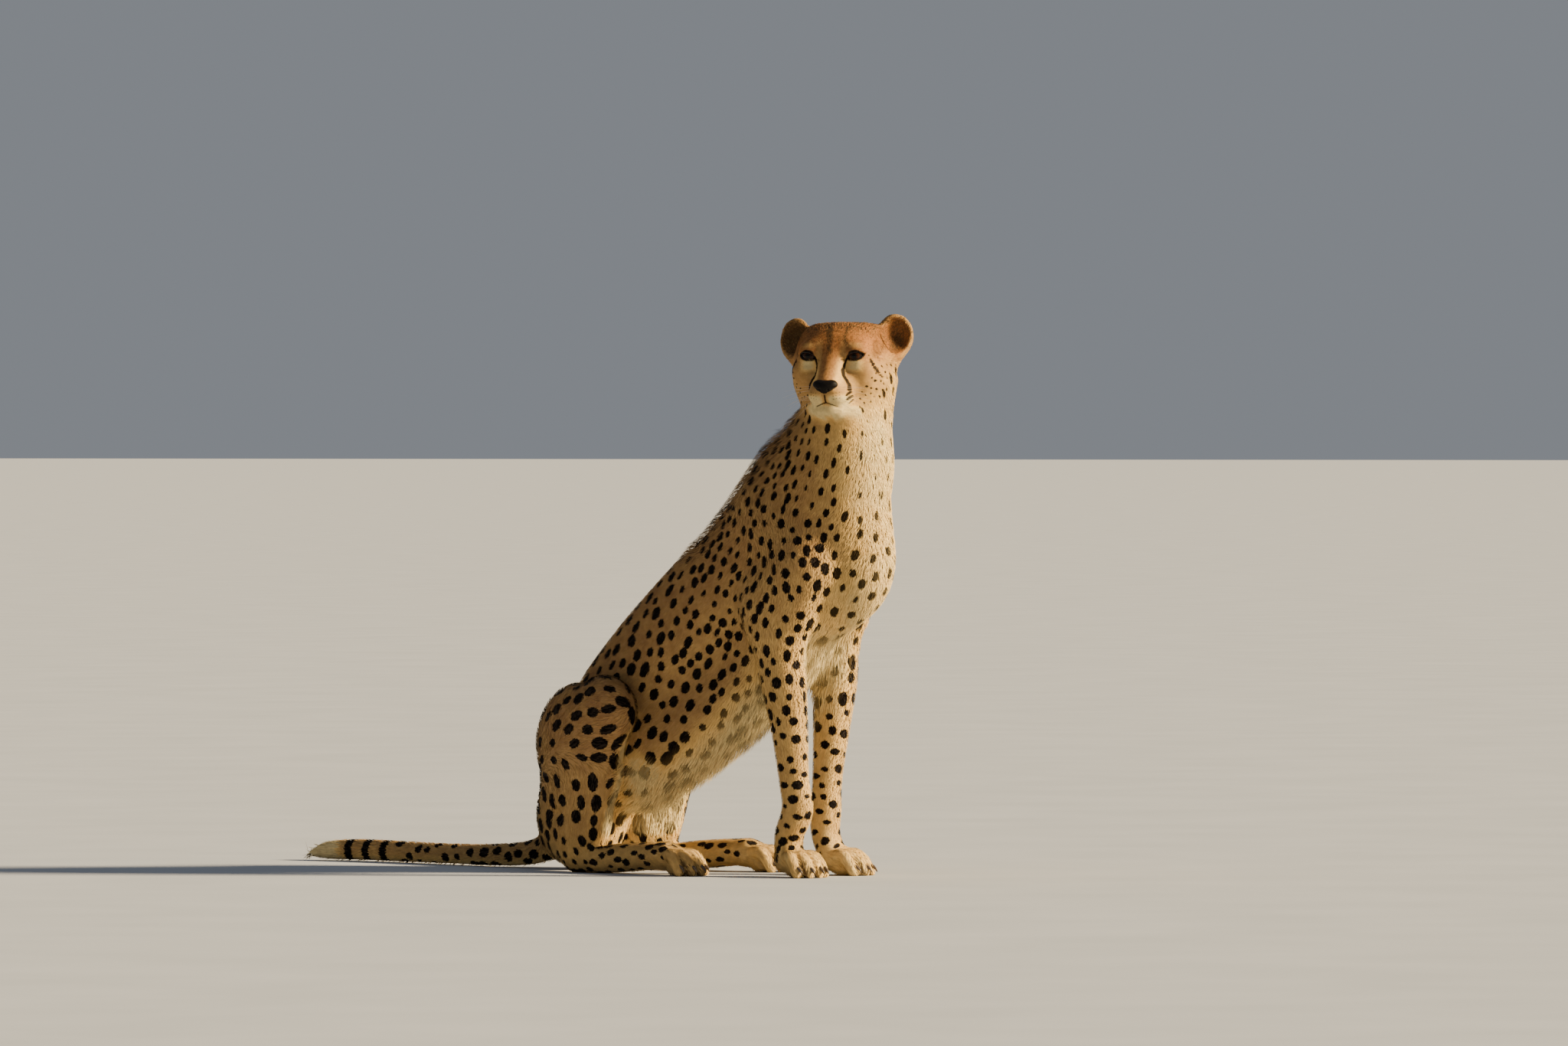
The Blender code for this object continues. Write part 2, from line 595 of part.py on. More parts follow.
WIDE = 0.30                 # reach of a wall that crosses a part with nothing else near
ACROSS = (0, 1, 0)
split("trunk", slab((.27, 0, .695), (.52, 0, .85), ACROSS, WIDE, WIDE),
      {"neck": (.31, 0, .77), "trunk": (-.3, 0, .35)})
split("trunk", slab((.050, 0, .43), (.73, 0, .68), ACROSS, WIDE, WIDE),
      {"chest": (.2, 0, .52), "trunk": (-.5, 0, .25)})
split("trunk", slab((-.135, 0, .27), (.75, 0, .66), ACROSS, WIDE, WIDE),
      {"belly": (-.02, 0, .33), "trunk": (-.6, 0, .18)})
split("trunk", slab((-.368, 0, .05), (1, 0, 0), ACROSS, WIDE, WIDE),
      {"rump": (-.26, 0, .17), "tail": (-.7, .03, .03)})
split("tail", slab((-.520, 0, .02), (1, 0, -.05), ACROSS, WIDE, WIDE),
      {"tail_root": (-.44, 0, .03), "tail": (-.76, .03, .02)})
split("tail", slab((-.700, 0, .02), (1, .2, 0), ACROSS, WIDE, WIDE),
      {"tail_middle": (-.61, .03, .02), "tail": (-.85, .06, .02)})
split("tail", slab((-.880, 0, .02), (1, 0, 0), ACROSS, WIDE, WIDE),
      {"tail_rings": (-.79, .06, .02), "tail_tip": (-.93, .07, .02)})
for side, s in (("left", 1), ("right", -1)):
    split("foreleg_" + side, slab((.24, 0, .080), (0, 0, 1), ACROSS, WIDE, WIDE),
          {"forearm_" + side: (.24, s * .07, .22), "forepaw_" + side: (.26, s * .06, .04)})
    toes_at = HINDPAWS[s][0][0]
    split("hindfoot_" + side, slab((toes_at - .045, 0, .03), (1, 0, 0), ACROSS, WIDE, WIDE),
          {"hindfoot_" + side: (-.09, s * .11, .03), "hindpaw_" + side: (.04, s * .11, .03)})
    split("leg_" + side, slab((-.2, 0, .105), (-.2, 0, 1), ACROSS, WIDE, WIDE),
          {"thigh_" + side: (-.2, s * .11, .24), "shank_" + side: (-.23, s * .11, .05)})

# ---------------------------------------------------------------- eyes and nose, in pockets GAP wider than they are

EYE_AT = (-8.0, 41.8, 0.0)
NOSE_SHAPES = ((46, 0, -60, 11, 11, 14), (46, 12, -52, 10, 11, 8.5), (46, -12, -52, 10, 11, 8.5),
               (47, 6, -57, 10, 12, 9), (47, -6, -57, 10, 12, 9), (45, 0, -52, 11, 14, 8.5))


def globe(centre, radius, across=14, around=9):
    """Places and faces of a faceted ball."""
    places = [centre + radius * np.array([0, 0, 1.0])]
    for i in range(1, around):
        for j in range(across):
            a, b = np.pi * i / around, 2 * np.pi * j / across
            places.append(centre + radius * np.array([np.sin(a) * np.cos(b), np.sin(a) * np.sin(b), np.cos(a)]))
    places.append(centre - radius * np.array([0, 0, 1.0]))
    faces = [[0, 1 + j, 1 + (j + 1) % across] for j in range(across)]
    for i in range(around - 2):
        a, b = 1 + i * across, 1 + (i + 1) * across
        faces += [[a + j, b + j, b + (j + 1) % across, a + (j + 1) % across] for j in range(across)]
    last = 1 + (around - 2) * across
    faces += [[last + j, len(places) - 1, last + (j + 1) % across] for j in range(across)]
    return places, facing_out(places, faces)


def nose_solid():
    """The nose pad's net."""
    shapes = [head_ball(*numbers, 5) for numbers in NOSE_SHAPES]
    at = head_point(*NOSE_SHAPES[0][:3])
    grid = [np.arange(c - 0.034, c + 0.034, 0.0058) for c in at]
    points = np.stack(np.meshgrid(*grid, indexing="ij"), -1).reshape(-1, 3)
    values = joined(shapes, points).reshape([len(g) for g in grid])
    places, quads = surface_net(one_skinned(values), grid)
    return places, np.vstack([quads[:, :3], quads[:, [0, 2, 3]]])


def grown(places, faces, by):
    """The same net with each of its faces moved out by at least by."""
    p = np.asarray(places, float)
    out = [unit(np.cross(p[f[2]] - p[f[0]], p[f[-1]] - p[f[1]])) for f in faces]
    total = np.zeros_like(p)
    for f, n in zip(faces, out):
        total[list(f)] += n
    total = unit(total)
    least = np.ones(len(p))
    for f, n in zip(faces, out):
        least[list(f)] = np.minimum(least[list(f)], total[list(f)] @ n)
    return p + total * (by / least)[:, None], faces


for side, s in (("left", 1), ("right", -1)):
    at = head_point(EYE_AT[0], s * EYE_AT[1], EYE_AT[2])
    eye = globe(at, EYE_RADIUS)
    boolean(named["head"], new_object("pocket", *grown(*eye, GAP)), "DIFFERENCE")
    named["eye_" + side] = new_object("eye", *eye)
nose = nose_solid()
boolean(named["head"], new_object("pocket", *grown(*nose, GAP)), "DIFFERENCE")
named["nose"] = new_object("nose", *nose)

# ---------------------------------------------------------------- claws, joined to the toes they grow from

CLAW = ((0.0640, 0.0160, 0.0036), (0.0800, 0.0060, 0.0008))    # forward, up, radius


def claw(base, f, l, y, back, sides=5):
    """Places and faces of one claw: two rings, closed at both ends."""
    places = []
    for x, z, r in CLAW:
        for j in range(sides):
            a = 2 * np.pi * j / sides
            places.append(base + (x + back) * f + y * 1.17 * l + r * np.cos(a) * l + [0, 0, z + r * np.sin(a)])
    faces = [[j, (j + 1) % sides, sides + (j + 1) % sides, sides + j] for j in range(sides)]
    faces += [list(range(sides))[::-1], list(range(sides, 2 * sides))]
    return places, facing_out(places, faces)


for kind, paws in (("forepaw_", FOREPAWS), ("hindpaw_", HINDPAWS)):
    for side, s in (("left", 1), ("right", -1)):
        base, f, l = paw_frame(s, *paws[s])
        for y, back in TOES:
            boolean(named[kind + side], new_object("claw", *claw(base, f, l, y, back)), "UNION")

# ---------------------------------------------------------------- colours, names and the finished place

COAT, CREAM, DARK = (0.62, 0.40, 0.20), (0.80, 0.70, 0.54), (0.03, 0.02, 0.015)
FINISHES = {
    "eye": ((0.10, 0.045, 0.015), 0.08), "nose": (DARK, 0.45), "tail_tip": ((0.78, 0.74, 0.68), 0.9),
    "tail_rings": ((0.42, 0.30, 0.18), 0.9), "forearm": ((0.70, 0.52, 0.32), 0.9), "forepaw": (CREAM, 0.9),
    "hindpaw": (CREAM, 0.9), "belly": ((0.72, 0.56, 0.36), 0.9), "neck": ((0.68, 0.50, 0.30), 0.9),
}


def finish(name):
    """The colour and roughness of a part, by the start of its name."""
    for start, made in FINISHES.items():
        if name.startswith(start):
            return made
    return COAT, 0.9


everything = np.vstack([[v.co for v in piece.data.vertices] for piece in named.values()])
low, high = everything.min(0), everything.max(0)
shift = -np.array([(low[0] + high[0]) / 2, (low[1] + high[1]) / 2, low[2]])
for name, piece in named.items():
    piece.name = piece.data.name = name
    for v in piece.data.vertices:
        v.co = tuple(np.array(v.co) + shift)
    colour, roughness = finish(name)
    material = bpy.data.materials.new(name + "_finish")
    material.use_nodes = True
    surface = material.node_tree.nodes["Principled BSDF"]
    surface.inputs["Base Color"].default_value = (*colour, 1.0)
    surface.inputs["Roughness"].default_value = roughness
    piece.data.materials.clear()
    piece.data.materials.append(material)
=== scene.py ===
import bpy
import numpy as np
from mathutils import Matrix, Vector


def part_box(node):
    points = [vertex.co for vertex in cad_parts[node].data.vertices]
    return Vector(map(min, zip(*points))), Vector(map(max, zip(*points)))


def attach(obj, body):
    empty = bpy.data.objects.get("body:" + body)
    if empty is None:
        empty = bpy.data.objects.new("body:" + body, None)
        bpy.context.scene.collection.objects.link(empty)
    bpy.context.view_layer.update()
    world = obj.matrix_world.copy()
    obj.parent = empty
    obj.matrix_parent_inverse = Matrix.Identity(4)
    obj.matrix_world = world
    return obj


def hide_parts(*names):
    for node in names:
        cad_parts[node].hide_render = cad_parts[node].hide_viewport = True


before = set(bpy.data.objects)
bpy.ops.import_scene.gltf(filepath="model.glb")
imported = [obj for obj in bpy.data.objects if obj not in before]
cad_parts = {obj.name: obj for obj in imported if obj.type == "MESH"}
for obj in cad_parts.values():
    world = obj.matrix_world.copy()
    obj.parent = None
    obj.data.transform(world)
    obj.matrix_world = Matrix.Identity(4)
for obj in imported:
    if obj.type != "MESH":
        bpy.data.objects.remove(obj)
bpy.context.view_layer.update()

# --------------------------------------------------------------------------------------------- skin
# One hide covers the whole animal, from the lips to the tip of the tail. It is the outline of the cut
# model drawn in by the depth of the coat, with lids, lips and folds added, and stands for all its flesh.

MM = 0.001
UPWARD = np.array([0, 0, 1.0])


def smooth_min(a, b, k):
    """The lesser of a and b, rounded over within k of where they meet."""
    h = np.clip(0.5 + 0.5 * (b - a) / k, 0.0, 1.0)
    return b + (a - b) * h - k * h * (1.0 - h)


def through(stations, per_span):
    """Rows between the stations on a Catmull-Rom spline, per_span to a span."""
    s = np.asarray(stations, float)
    s = np.vstack([2 * s[0] - s[1], s, 2 * s[-1] - s[-2]])
    t = (np.arange(per_span) / per_span)[:, None]
    rows = []
    for a, b, c, d in zip(s[:-3], s[1:-2], s[2:-1], s[3:]):
        rows.append(0.5 * (2 * b + (c - a) * t + (2 * a - 5 * b + 4 * c - d) * t**2
                           + (3 * b - a - 3 * c + d) * t**3))
    return np.vstack(rows + [s[-2:-1]])


def dot(a, b):
    """Each row of a on the same row of b."""
    return np.einsum("ij,ij->i", a, b)


def unit(v):
    """Each row at length 1."""
    v = np.asarray(v, float)
    return v / np.maximum(np.linalg.norm(v, axis=-1, keepdims=True), 1e-12)


def square_to(v, n):
    """Each row of v at length 1, less the part of it that lies along n."""
    return unit(v - (v * n).sum(1)[:, None] * n)


def ellipsoid_distance(u, v, w, ru, rv, rw):
    """About the distance from an ellipsoid: reach times reach less one, over the slope of the reach."""
    a, b, c = u / ru, v / rv, w / rw
    reach = np.sqrt(a * a + b * b + c * c) + 1e-9
    slope = np.sqrt((a / ru) ** 2 + (b / rv) ** 2 + (c / rw) ** 2) + 1e-9
    return reach * (reach - 1.0) / slope


class Sweep:
    """A rounded tube through stations (forward, left, up, half width, half depth). side points along its
    width and may turn to side_end on the way. egg narrows the side that the tube's own up points to."""

    def __init__(self, stations, side=(0, 1, 0), blend=0.02, per_span=4, egg=0.0, side_end=None):
        rows = through(stations, per_span)
        self.at, self.radii = rows[:, :3], rows[:, 3:5]
        self.blend, self.egg = blend, egg
        self.along = np.diff(self.at, axis=0)
        straight = unit(self.along)
        share = np.linspace(0, 1, len(self.along))[:, None]
        side_end = side if side_end is None else side_end
        sides = np.asarray(side, float) * (1 - share) + np.asarray(side_end) * share
        sides = square_to(sides, straight)
        ups = np.cross(straight, sides)
        self.sides, self.ups = [unit(np.vstack([r[:1], r[:-1] + r[1:], r[-1:]])) for r in (sides, ups)]
        reach = self.radii.max(1)[:, None]
        self.low, self.high = (self.at - reach).min(0), (self.at + reach).max(0)

    def closest(self, p):
        """The span and the share of it that lie closest to each point."""
        best, where = np.full(len(p), 1e9), np.zeros(len(p))
        for i, step in enumerate(self.along):
            rel = p - self.at[i]
            t = np.clip(rel @ step / (step @ step), 0, 1)
            rel -= t[:, None] * step
            d = dot(rel, rel)
            closer = d < best
            best[closer], where[closer] = d[closer], i + t[closer]
        i = np.minimum(where.astype(int), len(self.along) - 1)
        return i, (where - i)[:, None]

    def distance(self, p):
        """How far p lies outside the tube, as from the ellipse that it has at the closest place."""
        i, t = self.closest(p)
        at, radii, side, up = [r[i] + t * (r[i + 1] - r[i])
                               for r in (self.at, self.radii, self.sides, self.ups)]
        rel = p - at
        v = dot(rel, up)
        wide, deep = radii.T
        wide = wide * (1 + self.egg * np.clip(v / deep, -1, 1))
        return ellipsoid_distance(dot(rel, side), v, dot(rel, np.cross(side, up)), wide, deep,
                                  0.5 * (wide + deep))

    def unrolled(self, p):
        """Each point's turn round the tube, from 0 to 1, its length along it and the tube's direction."""
        i, t = self.closest(p)
        run = np.r_[0, np.cumsum(np.linalg.norm(self.along, axis=1))]
        rel = p - (self.at[i] + t * self.along[i])
        turn = np.arctan2(dot(rel, self.sides[i]), dot(rel, self.ups[i]))
        return turn / (2 * np.pi) + 0.5, run[i] + t[:, 0] * (run[i + 1] - run[i]), unit(self.along[i])


class Ball:
    """An ellipsoid. axes holds the directions of its radii as rows."""

    def __init__(self, centre, radii, axes=np.eye(3), blend=0.02):
        self.centre, self.r, self.axes = [np.asarray(v, float) for v in (centre, radii, axes)]
        self.blend = blend
        reach = np.sqrt(((self.axes * self.r[:, None]) ** 2).sum(0))
        self.low, self.high = self.centre - reach, self.centre + reach

    def distance(self, p):
        """How far p lies outside it."""
        u, v, w = ((p - self.centre) @ self.axes.T).T
        return ellipsoid_distance(u, v, w, *self.r)


def near_shape(shape, p, margin):
    """Which points lie within the shape's box and a margin round it."""
    return ((p > shape.low - margin) & (p < shape.high + margin)).all(1)


def joined(shapes, p, margin=0.05):
    """The blended distance from several shapes. Each is worked out only near itself."""
    total = np.full(len(p), 1.0)
    for shape in shapes:
        near = near_shape(shape, p, margin)
        total[near] = smooth_min(total[near], shape.distance(p[near]), shape.blend)
    return total


def carved(total, shapes, p, margin=0.03):
    """total with the shapes taken out of it."""
    for shape in shapes:
        near = near_shape(shape, p, margin)
        total[near] = -smooth_min(-total[near], shape.distance(p[near]), shape.blend)
    return total


HEAD_TURN = np.radians(70)                      # how far the head looks to the right of the body
HEAD_AT = np.array([0.337, -0.0725, 0.9435])    # midway between the eyes
HEAD_AXES = np.array([[np.cos(HEAD_TURN), -np.sin(HEAD_TURN), 0],
                      [np.sin(HEAD_TURN), np.cos(HEAD_TURN), 0], [0, 0, 1]])    # its forward, left and up

# Rows along the body: forward, left, up, half width, half depth.
BACK = [(-0.282, 0, 0.085, 0.066, 0.086), (-0.262, 0, 0.165, 0.086, 0.098), (-0.190, 0, 0.270, 0.086, 0.117),
        (-0.098, 0, 0.362, 0.084, 0.127), (0.002, 0, 0.448, 0.090, 0.132), (0.108, 0, 0.535, 0.096, 0.136),
        (0.193, 0, 0.620, 0.094, 0.143), (0.250, 0, 0.700, 0.086, 0.139), (0.285, 0, 0.754, 0.075, 0.118)]
UNDER = [(0.240, 0, 0.488, 0.066, 0.074), (0.158, 0, 0.388, 0.078, 0.076), (0.062, 0, 0.309, 0.084, 0.078),
         (-0.035, 0, 0.248, 0.086, 0.080), (-0.130, 0, 0.198, 0.084, 0.085)]
BREAST = Ball((0.313, 0, 0.577), (0.100, 0.078, 0.122), blend=0.06)
NECK = [(0.240, 0.000, 0.630, 0.088, 0.115), (0.290, 0.000, 0.715, 0.085, 0.105),
        (0.312, 0.004, 0.790, 0.081, 0.090), (0.317, 0.008, 0.850, 0.081, 0.078),
        (0.315, 0.010, 0.896, 0.089, 0.074), (0.312, 0.010, 0.918, 0.086, 0.064)]
TAIL = [(-0.300, 0.000, 0.085, 0.040, 0.040), (-0.345, 0.000, 0.050, 0.030, 0.030),
        (-0.400, 0.002, 0.028, 0.025, 0.025), (-0.500, 0.012, 0.021, 0.0225, 0.0225),
        (-0.620, 0.035, 0.020, 0.021, 0.021), (-0.740, 0.062, 0.020, 0.0215, 0.0215),
        (-0.850, 0.075, 0.021, 0.023, 0.022), (-0.930, 0.072, 0.019, 0.021, 0.020),
        (-0.965, 0.068, 0.014, 0.012, 0.012)]


def head_point(x, y, z):
    """A place in the head's own millimetres (forward, left, up), as the body's metres."""
    return HEAD_AT + MM * np.array([x, y, z]) @ HEAD_AXES


def in_head(p):
    """Each point in the head's own millimetres."""
    return (p - HEAD_AT) @ HEAD_AXES.T / MM


def head_axes(turn=0.0, tilt=0.0):
    """Three directions in the body's frame: the first swings turn degrees outward and is raised by tilt."""
    t, e = np.radians(turn), np.radians(tilt)
    first = np.array([np.cos(t) * np.cos(e), np.sin(t) * np.cos(e), np.sin(e)])
    second = np.array([-np.sin(t), np.cos(t), 0.0])
    return np.stack([first, second, np.cross(first, second)]) @ HEAD_AXES


def head_ball(x, y, z, rx, ry, rz, blend=12, turn=0.0, tilt=0.0):
    """An ellipsoid given in the head's own millimetres."""
    return Ball(head_point(x, y, z), MM * np.array([rx, ry, rz]), head_axes(turn, tilt), MM * blend)


def head_sweep(rows, blend):
    """A tube given in the head's own millimetres."""
    return Sweep([[*head_point(x, y, z), w * MM, d * MM] for x, y, z, w, d in rows], HEAD_AXES[1],
                 MM * blend)


def head():
    """The skull and muzzle, in the order in which they blend. The ears are apart."""
    shapes = [head_ball(-75, s * 24, -6, 78, 61, 66, 20) for s in (1, -1)]
    shapes += [head_sweep([(-50, 0, 2, 48, 48), (-30, 0, -2, 42, 42), (-5, 0, -19, 31, 31),
                           (16, 0, -38, 25, 26), (33, 0, -54, 21, 22)], 20),
               head_sweep([(-34, 0, -62, 50, 36), (-5, 0, -66, 40, 31), (18, 0, -68, 31, 26)], 16)]
    for s in (1, -1):
        shapes += [
            head_ball(-48, s * 48, -40, 52, 37, 44, 22, turn=s * -14),       # cheek
            head_ball(-82, s * 50, 16, 44, 34, 40, 16),                      # corner of the crown
            head_ball(22, s * 17, -70, 31, 21, 19, 9, turn=s * -12),         # upper lip
            head_ball(-15, s * 36, 11, 19, 28, 15, 20, turn=s * -25),        # brow
            head_ball(-20, s * 46, -27, 23, 28, 21, 24, turn=s * -30),       # under the eye
            head_ball(-3, s * 28, -52, 26, 15, 19, 14, turn=s * -20),        # side of the muzzle
            head_sweep([(14, s * 14, -98, 14, 12), (-22, s * 36, -90, 17, 18), (-62, s * 56, -68, 22, 30)],
                       14),                                                  # jaw
        ]
    throat = head_sweep([(-8, 0, -92, 30, 18), (-24, 2, -122, 42, 28), (-48, 0, -160, 48, 40)], 25)
    back_of_head = head_ball(-112, 0, -38, 40, 62, 52, 25)
    chin = head_ball(15, 0, -97, 26, 26, 15, 12)
    return shapes + [throat, back_of_head, chin]


def ears():
    """For each ear its base and its disc, then the hollows. The left one is carried a little higher."""
    shapes, hollows = [], []
    for s, lift, lean in ((1, 3, 0), (-1, -4, -3)):
        shapes.append(head_ball(-92, s * 78, 9 + lift, 25, 30, 36, 18, turn=s * 24))
        shapes.append(head_ball(-94, s * 92 + lean, 34 + lift, 17, 34, 40, 12, turn=s * 24, tilt=6))
        hollows.append(head_ball(-78, s * 98 + lean, 36 + lift, 20, 27, 32, 5, turn=s * 24, tilt=6))
    return shapes, hollows


def paw_frame(s, place, toe_out):
    """Where a paw stands, and its own forward and left. s is 1 for the left one and -1 for the right."""
    a = np.radians(toe_out) * s
    return (np.array([place[0], s * place[1], 0.0]), np.array([np.cos(a), np.sin(a), 0]),
            np.array([-np.sin(a), np.cos(a), 0]))


TOES = ((-0.0265, -0.012), (-0.0095, 0.0), (0.0095, 0.0), (0.0265, -0.012))     # sideways, how far back


def foot(s, place, toe_out):
    """A paw: its root, four toes and the pad under them."""
    base, f, l = paw_frame(s, place, toe_out)

    def at(x, y, z, r):
        """One row of a tube: a place in the paw's own frame and the radii there."""
        return (*(base + x * f + y * l + [0, 0, z]), r, r * 0.95)
    root = [at(-.012, 0, .030, .024), at(.014, 0, .028, .027), at(.028, 0, .024, .024)]
    shapes = [Sweep(root, l, .012)]
    for y, back in TOES:
        rows = [at(.012 + back * .3, y * .75, .036, .013), at(.036 + back * .7, y, .037, .0135),
                at(.054 + back, y * 1.12, .025, .0130), at(.065 + back, y * 1.15, .0085, .0120)]
        shapes.append(Sweep(rows, l, .004, per_span=3))
    return shapes + [Ball(base + .018 * f + [0, 0, .011], (.021, .024, .015), np.stack([f, l, UPWARD]),
                          .008)]


def sided(s):
    """A call that makes one row of a tube on side s from a place and its two radii."""
    return lambda p, wide=0, deep=0: (p[0], s * p[1], p[2], wide, deep)


def foreleg(s, elbow, wrist, place, toe_out):
    """Blade and shoulder, upper arm, point of the elbow, forearm down to the paw, and the paw."""
    at = sided(s)
    e, w, q = np.array(elbow), np.array(wrist), np.array([*place, 0.0])
    blade, shoulder = np.array((0.150, 0.050, 0.665)), np.array((0.275, 0.080, 0.560))
    return [
        Sweep([at(blade, .030, .060), at((0.215, 0.068, 0.625), .036, .066), at(shoulder, .042, .056)],
              blend=.05),
        Sweep([at(shoulder, .042, .056), at((shoulder + e) / 2 + [-.012, 0, 0], .047, .066),
               at(e + [0, 0, .03], .042, .052)], blend=.04),
        Ball(at(e + [-.03, 0, .085])[:3], (.05, .038, .07), blend=.03),
        Sweep([at(e + [0, 0, .03], .040, .046), at(e + (w - e) * .15 + [.004, .002, 0], .040, .045),
               at(e + (w - e) * .45 + [.004, 0, 0], .033, .037), at(e + (w - e) * .8, .027, .029),
               at(w, .028, .030), at(w * .45 + q * .55 + [-.012, 0, .02], .028, .027),
               at(q + [-.005, 0, .035], .030, .024)]),
    ] + foot(s, place, toe_out)


def hindleg(s, heel, place, toe_out):
    """Haunch, thigh, knee, shank, the back of the haunch, and the foot laid along the floor."""
    at = sided(s)
    h, k = np.array((-0.215, 0.095, 0.216)), np.array((-0.135, 0.122, 0.298))
    c, q = np.array([*heel, 0.0]), np.array([*place, 0.0])
    u = unit(q - c)
    return [
        Ball(at(h)[:3], (.085, .058, .128), blend=.04),
        Sweep([at(h, .052, .100), at((h + k) / 2 + [-.006, .008, .006], .054, .092), at(k, .044, .060)],
              blend=.03),
        Ball(at(k + [-.002, .002, .002])[:3], (.052, .044, .058), blend=.03),
        Sweep([at(k, .036, .046), at(k * .72 + c * .28 + [-.024, 0, 0], .038, .060),
               at(k * .4 + c * .6 + [-.018, 0, 0], .034, .054), at(c + [-.004, 0, .040], .028, .040)],
              blend=.03),
        Ball(at(h + [-.025, -.012, -.112])[:3], (.078, .052, .096), blend=.03),
        Sweep([at(c + [-.006, 0, .024], .021, .027), at(c + u * .05 + [0, 0, .024], .025, .027),
               at(c + u * .11 + [0, 0, .029], .026, .028), at(q + [-.012, 0, .036], .030, .026)],
              blend=.012),
    ] + foot(s, place, toe_out)


FOREPAWS = {-1: ((0.238, 0.060), 16), 1: ((0.244, 0.066), 8)}       # side: (place forward and out, toes out)
HINDPAWS = {-1: ((0.010, 0.118), 12), 1: ((0.030, 0.108), 6)}
EAR_SHAPES, EAR_HOLLOWS = ears()
PARTS = {
    "trunk": [Sweep(BACK, egg=-0.10), Sweep(UNDER, blend=0.05), BREAST],
    "neck": [Sweep(NECK, blend=0.04, side_end=HEAD_AXES[1], per_span=8)],
    "head": head() + EAR_SHAPES,
    "tail": [Sweep(TAIL, blend=0.03)],
    "foreleg_right": foreleg(-1, (0.228, 0.086, 0.405), (0.252, 0.062, 0.122), *FOREPAWS[-1]),
    "foreleg_left": foreleg(1, (0.226, 0.086, 0.405), (0.226, 0.062, 0.122), *FOREPAWS[1]),
    "hindleg_right": hindleg(-1, (-0.205, 0.112), *HINDPAWS[-1]),
    "hindleg_left": hindleg(1, (-0.190, 0.110), *HINDPAWS[1]),
}
LIMB_BLEND = {"foreleg_right": 0.03, "foreleg_left": 0.03, "hindleg_right": 0.012, "hindleg_left": 0.012}


def outline(p):
    """How far p lies outside the cut model, less than nought within it."""
    total = joined([shape for name in ("trunk", "neck", "head", "tail") for shape in PARTS[name]], p)
    for name, blend in LIMB_BLEND.items():
        total = smooth_min(total, joined(PARTS[name], p), blend)
    return carved(total, EAR_HOLLOWS, p)


def ease(x, low, high):
    """0 below low, 1 above high, and a smooth step between them."""
    t = np.clip((x - low) / (high - low), 0, 1)
    return t * t * (3 - 2 * t)


def near_line(p, points, reach):
    """1 on the line through the points, falling smoothly to 0 at reach from it."""
    points = np.asarray(points, float)
    best = np.full(len(p), 1e9)
    for a, b in zip(points[:-1], points[1:]):
        rel, step = p - a, b - a
        t = np.clip(rel @ step / (step @ step), 0, 1)[:, None]
        best = np.minimum(best, np.linalg.norm(rel - t * step, axis=1))
    return 1 - ease(best, 0, reach)


BELLY_LINE = ((0.235, 0, 0.420), (0.155, 0, 0.315), (0.070, 0, 0.225), (-0.020, 0, 0.160),
              (-0.100, 0, 0.105))
CREST_LINE = ((0.235, 0.03, 0.900), (0.222, 0.01, 0.800), (0.170, 0, 0.745), (0.105, 0, 0.665),
              (0.030, 0, 0.590))
CHEST_LINE = ((0.395, 0, 0.760), (0.412, 0, 0.600), (0.350, 0, 0.470))


def coat_depth(p):
    """How deep the coat lies over the skin: shallow on the face and feet, deep on belly and nape."""
    depth = 3.6 + 8 * near_line(p, BELLY_LINE, 0.10) + 7 * near_line(p, CREST_LINE, 0.085)
    depth += 3 * near_line(p, CHEST_LINE, 0.11)
    low = 1 - ease(p[:, 2], 0.05, 0.34)
    leg = low * ease(p[:, 0], -0.33, -0.24)
    depth += (2.4 - depth) * leg * (1 - near_line(p, BELLY_LINE, 0.12))
    x, y, z = in_head(p).T
    face = 1.3 + 1.5 * ease(-x, 20, 70) + 2.2 * ease(-x, 40, 95) * (1 - ease(z, -30, 20))
    face *= 1 - 0.45 * ease(np.abs(y), 72, 92) * ease(z, -12, 8)
    near_head = ease(z, -128, -86) * ease(x, -150, -95)
    return MM * (depth + (face - depth) * near_head)


EYE_AT = (-8.0, 41.8, 0.0)             # the left one, in the head's own millimetres
EYE_RADIUS = 0.0168
EYE_REACH = 0.034                      # how far from the eye's middle the lids change the face
LID = 0.0021                           # how far the lids stand off the eye
LID_EDGE = 0.0012                      # how far their edges are rounded over
LID_JOIN = 0.007                       # how far they blend into the face
UPPER_LID, LOWER_LID = 23.5, 24.0      # how far over and under the middle the lids open, in degrees
CORNER, CORNER_DROP = 62.0, 7.0        # how far out the corners lie, and how far the inner one drops


def eye_frame(s):
    """The eye's centre and its outward, sideways and upward ways. Sideways is away from the nose."""
    out, side, up = head_axes(turn=s * 10, tilt=-2)
    roll = np.radians(9)
    return (head_point(EYE_AT[0], s * EYE_AT[1], EYE_AT[2]), out,
            np.cos(roll) * s * side + np.sin(roll) * up, np.cos(roll) * up - np.sin(roll) * s * side)


def lid_edges(across):
    """The lids' two edges at an angle across the eye: a flat arch above and a deeper one below, both
    brought down towards the inner corner."""
    arch = np.sqrt(np.clip(1 - (across / CORNER) ** 2, 0, 1))
    drop = CORNER_DROP * ease(-across, 16, CORNER)
    return UPPER_LID * arch ** 1.5 - drop, -LOWER_LID * arch ** 1.8 - drop


